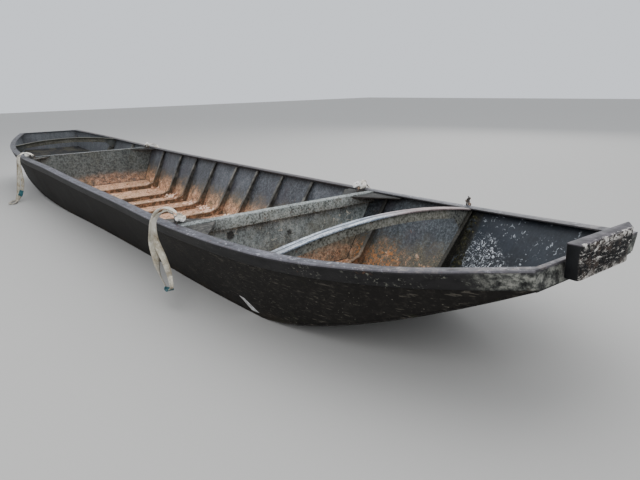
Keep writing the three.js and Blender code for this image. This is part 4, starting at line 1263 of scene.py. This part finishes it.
weldBeads()
print("welds laid")


# loose scale, leaves and moss

litter = {
    "seed": 7, "flakes": 2300, "foreFlakes": 260, "hold": (-1.86, 1.92), "foreBay": (1.97, 2.72),
    "frameFoot": (-0.004, 0.034), "foreFrame": (2.10, 2.137), "sizes": (0.004, 0.006, 0.008, 0.011),
    "foreSizes": (0.004, 0.006, 0.009),
}
leaf = {
    "count": 300, "sizes": (0.011, 0.025), "portShare": 0.85,
    "drifts": ((-1.53, 0.9), (-0.93, 1.1), (-0.72, 1.0), (-0.43, 1.3), (-0.30, 1.1), (-0.12, 1.2),
               (0.02, 1.2), (0.36, 0.7), (0.68, 0.5), (1.10, 0.3)),
    "models": ((0.12, 0.35), (0.22, 0.15), (0.05, 0.5)),
}
moss = {
    "fore": 190, "aft": 90, "capSizes": (0.002, 0.003, 0.004),
    "beam": 170, "beamSizes": (0.003, 0.005, 0.007),
}


def innerLines():
    # lower and upper inner edges of the port side plates, station by station
    found = {}
    for part in ("fore", "aft"):
        spots = cornersOf(f"port_side_plate_{part}")
        keys = np.unique(spots[:, 0].round(4))
        lows, highs = [], []
        for k in keys:
            ring = spots[abs(spots[:, 0] - k) < 0.0002]
            foot = ring[ring[:, 2] < ring[:, 2].min() + 0.002]
            head = ring[ring[:, 2] > ring[:, 2].max() - 0.002]
            lows.append((foot[:, 1].min(), foot[:, 2].mean()))
            highs.append((head[:, 1].min(), head[:, 2].mean()))
        found[part] = (keys, np.array(lows), np.array(highs))
    return found


platingLines = innerLines()


def innerAt(x, z):
    # inner half breadth of the plating, from the side plates' own corners
    keys, lows, highs = platingLines["fore" if x > hull["sideSeam"] + 0.001 else "aft"]
    i = int(np.searchsorted(keys, x).clip(1, len(keys) - 1))
    t = (x - keys[i - 1]) / (keys[i] - keys[i - 1])
    low = lows[i - 1] + (lows[i] - lows[i - 1]) * t
    high = highs[i - 1] + (highs[i] - highs[i - 1]) * t
    return low[0] + (high[0] - low[0]) * (z - low[1]) / (high[1] - low[1])


def chip(seed, corners):
    # one ragged flake of scale, two units across, shaped from a filled circle
    nothingSelected()
    bpy.ops.mesh.primitive_circle_add(vertices=corners, radius=1, fill_type="NGON", location=(0, 0, 0))
    piece = bpy.context.object
    editing(piece)
    bpy.ops.transform.vertex_random(offset=0.28, uniform=0.6, seed=seed)
    bpy.ops.mesh.extrude_region_move(TRANSFORM_OT_translate={"value": (0, 0, 0.15)})
    edited()
    facedOut(piece)
    return piece


def leafModel(lift, curl):
    # one pointed leaf, two units long, pinched from a grid and curled
    nothingSelected()
    bpy.ops.mesh.primitive_grid_add(x_subdivisions=4, y_subdivisions=2, size=2, location=(0, 0, 0))
    piece = bpy.context.object
    for column, width in ((-1, 0.02), (-0.5, 0.42), (0, 0.5), (0.5, 0.34), (1, 0.02)):
        bpy.ops.object.mode_set(mode="EDIT")
        bpy.ops.mesh.select_all(action="DESELECT")
        edited()
        for vertex in piece.data.vertices:
            vertex.select = abs(vertex.co.x - column) < 0.01
        bpy.ops.object.mode_set(mode="EDIT")
        bpy.ops.transform.resize(value=(1, width, 1), center_override=(column, 0, 0))
        bpy.ops.transform.translate(value=(0, 0, curl * column * column))
    edited()
    for vertex in piece.data.vertices:
        vertex.select = abs(vertex.co.y) > 0.2
    bpy.ops.object.mode_set(mode="EDIT")
    bpy.ops.transform.translate(value=(0, 0, lift))
    edited()
    apply(piece, "SOLIDIFY", thickness=0.05, offset=0)
    return piece


def tuftModel(seed):
    # one lump of moss, two units across
    nothingSelected()
    bpy.ops.mesh.primitive_ico_sphere_add(subdivisions=1, radius=1, location=(0, 0, 0))
    piece = bpy.context.object
    editing(piece)
    bpy.ops.transform.vertex_random(offset=0.35, uniform=0.5, seed=seed)
    bpy.ops.transform.resize(value=(1, 1, 0.55), center_override=(0, 0, 0))
    edited()
    return piece


def laid(dice, centre, size, tilt, normal=(0, 0, 1)):
    # where one copy lies: its place, its turn and its size
    up = Vector(normal) + Vector((dice.uniform(-tilt, tilt), dice.uniform(-tilt, tilt), 0))
    turn = up.to_track_quat("Z", "Y") @ Quaternion((0, 0, 1), dice.uniform(0, 6.3))
    scale = Matrix.Diagonal((size, size * dice.uniform(0.55, 1.0), size, 1))
    return Matrix.Translation(centre) @ turn.to_matrix().to_4x4() @ scale


def strewn(name, models, places, finish):
    # copies of the models at their places, joined as one piece
    copies = []
    for i, place in enumerate(places):
        mesh = models[i % len(models)].data.copy()
        mesh.transform(place)
        copies.append(linked(name, mesh))
    nothingSelected()
    for copy in copies:
        copy.select_set(True)
    piece = copies[0]
    bpy.context.view_layer.objects.active = piece
    bpy.ops.object.join()
    for model in models:
        bpy.data.objects.remove(model)
    piece.name = name
    coated(piece, finish)
    rounded(piece, skin["litterSmooth"])
    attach(piece, "root")


def holdLitter():
    dice = random.Random(litter["seed"])
    frames = [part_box(f"hold_frame_{i}")[0][0] for i in range(1, 10)]
    near, far = litter["frameFoot"]
    places = []
    while len(places) < litter["flakes"]:
        x = dice.uniform(*litter["hold"])
        if any(near < x - f < far for f in frames):
            continue
        floor = bottomAt(x) + hull["plate"]
        half = innerAt(x, floor + 0.01) - 0.012
        y = dice.choice((-1, 1)) * half * dice.random() ** 0.75
        centre = (x, y, floor + dice.uniform(0.001, 0.004))
        places.append(laid(dice, centre, dice.choice(litter["sizes"]), 0.35))
    first, last = litter["foreBay"]
    near, far = litter["foreFrame"]
    while len(places) < litter["flakes"] + litter["foreFlakes"]:
        x = dice.gauss(2.22, 0.20)
        if not first < x < last or near < x < far:
            continue
        floor = bottomAt(x) + hull["plate"]
        half = innerAt(x, floor + 0.01) - 0.015
        y = half * (1 - abs(dice.gauss(0, 0.28))) * dice.choice((1, 1, 1, -1))
        if abs(y) < 0.02:
            continue
        centre = (x, y, floor + dice.uniform(0.001, 0.004))
        places.append(laid(dice, centre, dice.choice(litter["foreSizes"]), 0.4))
    strewn("looseScale", [chip(seed, 5 + seed % 3) for seed in range(6)], places, "flake")


def leaves():
    dice = random.Random(litter["seed"] + 4)
    places = []
    while len(places) < leaf["count"]:
        x, weight = dice.choice(leaf["drifts"])
        if dice.random() > weight:
            continue
        x += dice.gauss(0, 0.055)
        floor = bottomAt(x) + hull["plate"]
        rise = abs(dice.gauss(0, 0.020))
        half = innerAt(x, floor + 0.01 + rise)
        side = 1 if dice.random() < leaf["portShare"] else -1
        y = side * (half - 0.022 - abs(dice.gauss(0, 0.05)))
        centre = (x, y, floor + 0.006 + rise * 0.6)
        normal = (dice.uniform(-0.5, 0.5), -side * dice.uniform(0.1, 0.7), 1)
        places.append(laid(dice, centre, dice.uniform(*leaf["sizes"]), 0, normal))
    strewn("driftedLeaves", [leafModel(lift, curl) for lift, curl in leaf["models"]], places, "leaf")


def mossTufts():
    # small tufts along the lower edge of the caps, and on the plating by the fore beam's frame
    dice = random.Random(litter["seed"] + 9)
    places = []
    for part in ("fore", "aft"):
        spots = cornersOf(f"{part}_bulkhead_cap")
        low = spots[:, 2].min()
        away = spots[:, 0].max() if part == "fore" else spots[:, 0].min()
        half = spots[:, 1].max() - 0.01
        for i in range(moss[part]):
            x = away + dice.uniform(-0.006, 0.001)
            centre = (x, dice.uniform(-half, half), low + dice.uniform(-0.001, 0.004))
            places.append(laid(dice, centre, dice.choice(moss["capSizes"]), 0.9))
    for i in range(moss["beam"]):
        x = dice.gauss(hull["beamFrame"], 0.020)
        z = dice.uniform(0.12, 0.42)
        if not 2.815 < x < 2.90:
            continue
        y = innerAt(x, z) - 0.002
        for side in (1, -1):
            size = dice.choice(moss["beamSizes"])
            places.append(laid(dice, (x, side * y, z), size, 0.3, (0, -side, 0.25)))
    strewn("mossTufts", [tuftModel(seed) for seed in range(4)], places, "moss")


holdLitter()
leaves()
mossTufts()
print("scale, leaves and moss scattered")


# blank sticker on the bilge, and the twisted tie on the far gunwale

sticker = {
    "corners": ((2.2929, -0.524, 0.0999), (2.333, -0.5217, 0.0992), (2.400, -0.475, 0.0247),
                (2.3301, -0.4758, 0.0201)),
    "outward": (0, -0.02, -0.01), "above": 0.0007, "thick": 0.0006,
}


def blankSticker():
    nothingSelected()
    bpy.ops.mesh.primitive_grid_add(x_subdivisions=6, y_subdivisions=10, size=1)
    piece = bpy.context.object
    piece.name = "blankSticker"
    a, b, c, d = [Vector(s) for s in sticker["corners"]]
    for vertex in piece.data.vertices:
        u, v = vertex.co.x + 0.5, vertex.co.y + 0.5
        vertex.co = (a.lerp(b, u)).lerp(d.lerp(c, u), v) + Vector(sticker["outward"])
    apply(piece, "SHRINKWRAP", target=nodes["starboard_side_plate_fore"], wrap_method="NEAREST_SURFACEPOINT",
          wrap_mode="ABOVE_SURFACE", offset=sticker["above"])
    facedOut(piece)
    apply(piece, "SOLIDIFY", thickness=sticker["thick"], offset=0)
    coated(piece, "sticker")
    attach(piece, "root")


tie = {"along": 2.742, "out": 0.700, "turns": 5.5, "radius": 0.019, "thread": 0.0040, "tall": 0.044}


def twistedTie():
    # a wire tie twisted round itself on the far gunwale
    bar = cornersOf("port_gunwale_bar_fore")
    top = bar[abs(bar[:, 0] - tie["along"]) < 0.15][:, 2]
    x, y, z = tie["along"], tie["out"], top.mean() + 0.002
    spots = []
    for t in np.linspace(0, 1, 120):
        a = 2 * math.pi * tie["turns"] * t
        r = tie["radius"] * (0.55 + 0.3 * math.sin(5.3 * t + 1) + 0.15 * math.sin(17 * t))
        spots.append(np.array((x + r * math.cos(a) + 0.004 * math.sin(9 * t), y + 0.6 * r * math.sin(a * 0.8),
                               z + tie["tall"] * t + 0.45 * r * math.sin(a * 1.7))))
    drawn("twistedTie", spots, tie["thread"], "lug")


blankSticker()
twistedTie()
print("small pieces made")


# floor and light

light = {
    "floor": (0.46, 0.45, 0.43, 1), "floorRough": 0.9, "sky": (0.86, 0.90, 0.96, 1), "skyStrength": 1.05,
    "lamps": (("overhead", (0.5, 0.0, 6.5), (0, 0, 0), 9.0, 330),
              ("bowSide", (7.0, -5.0, 4.5), (1.5, 0, 0.3), 4.0, 200),
              ("farSide", (-2.0, 8.0, 5.0), (0, 0, 0.3), 6.0, 240)),
}


def studio():
    nothingSelected()
    bpy.ops.mesh.primitive_plane_add(size=60, location=(0, 0, -0.0005))
    floor = bpy.context.object
    floor.name = "studioFloor"
    pale = bpy.data.materials.new("floorPale")
    pale.use_nodes = True
    shader = pale.node_tree.nodes["Principled BSDF"]
    shader.inputs["Base Color"].default_value = light["floor"]
    shader.inputs["Roughness"].default_value = light["floorRough"]
    floor.data.materials.append(pale)
    world = bpy.data.worlds.new("studioSky")
    bpy.context.scene.world = world
    world.use_nodes = True
    sky = world.node_tree.nodes["Background"]
    sky.inputs["Color"].default_value = light["sky"]
    sky.inputs["Strength"].default_value = light["skyStrength"]
    for name, spot, target, size, power in light["lamps"]:
        bpy.ops.object.light_add(type="AREA", location=spot)
        lamp = bpy.context.object
        lamp.name = name
        lamp.data.size = size
        lamp.data.energy = power
        lamp.rotation_euler = (Vector(target) - Vector(spot)).to_track_quat("-Z", "Y").to_euler()


studio()
print("studio ready")
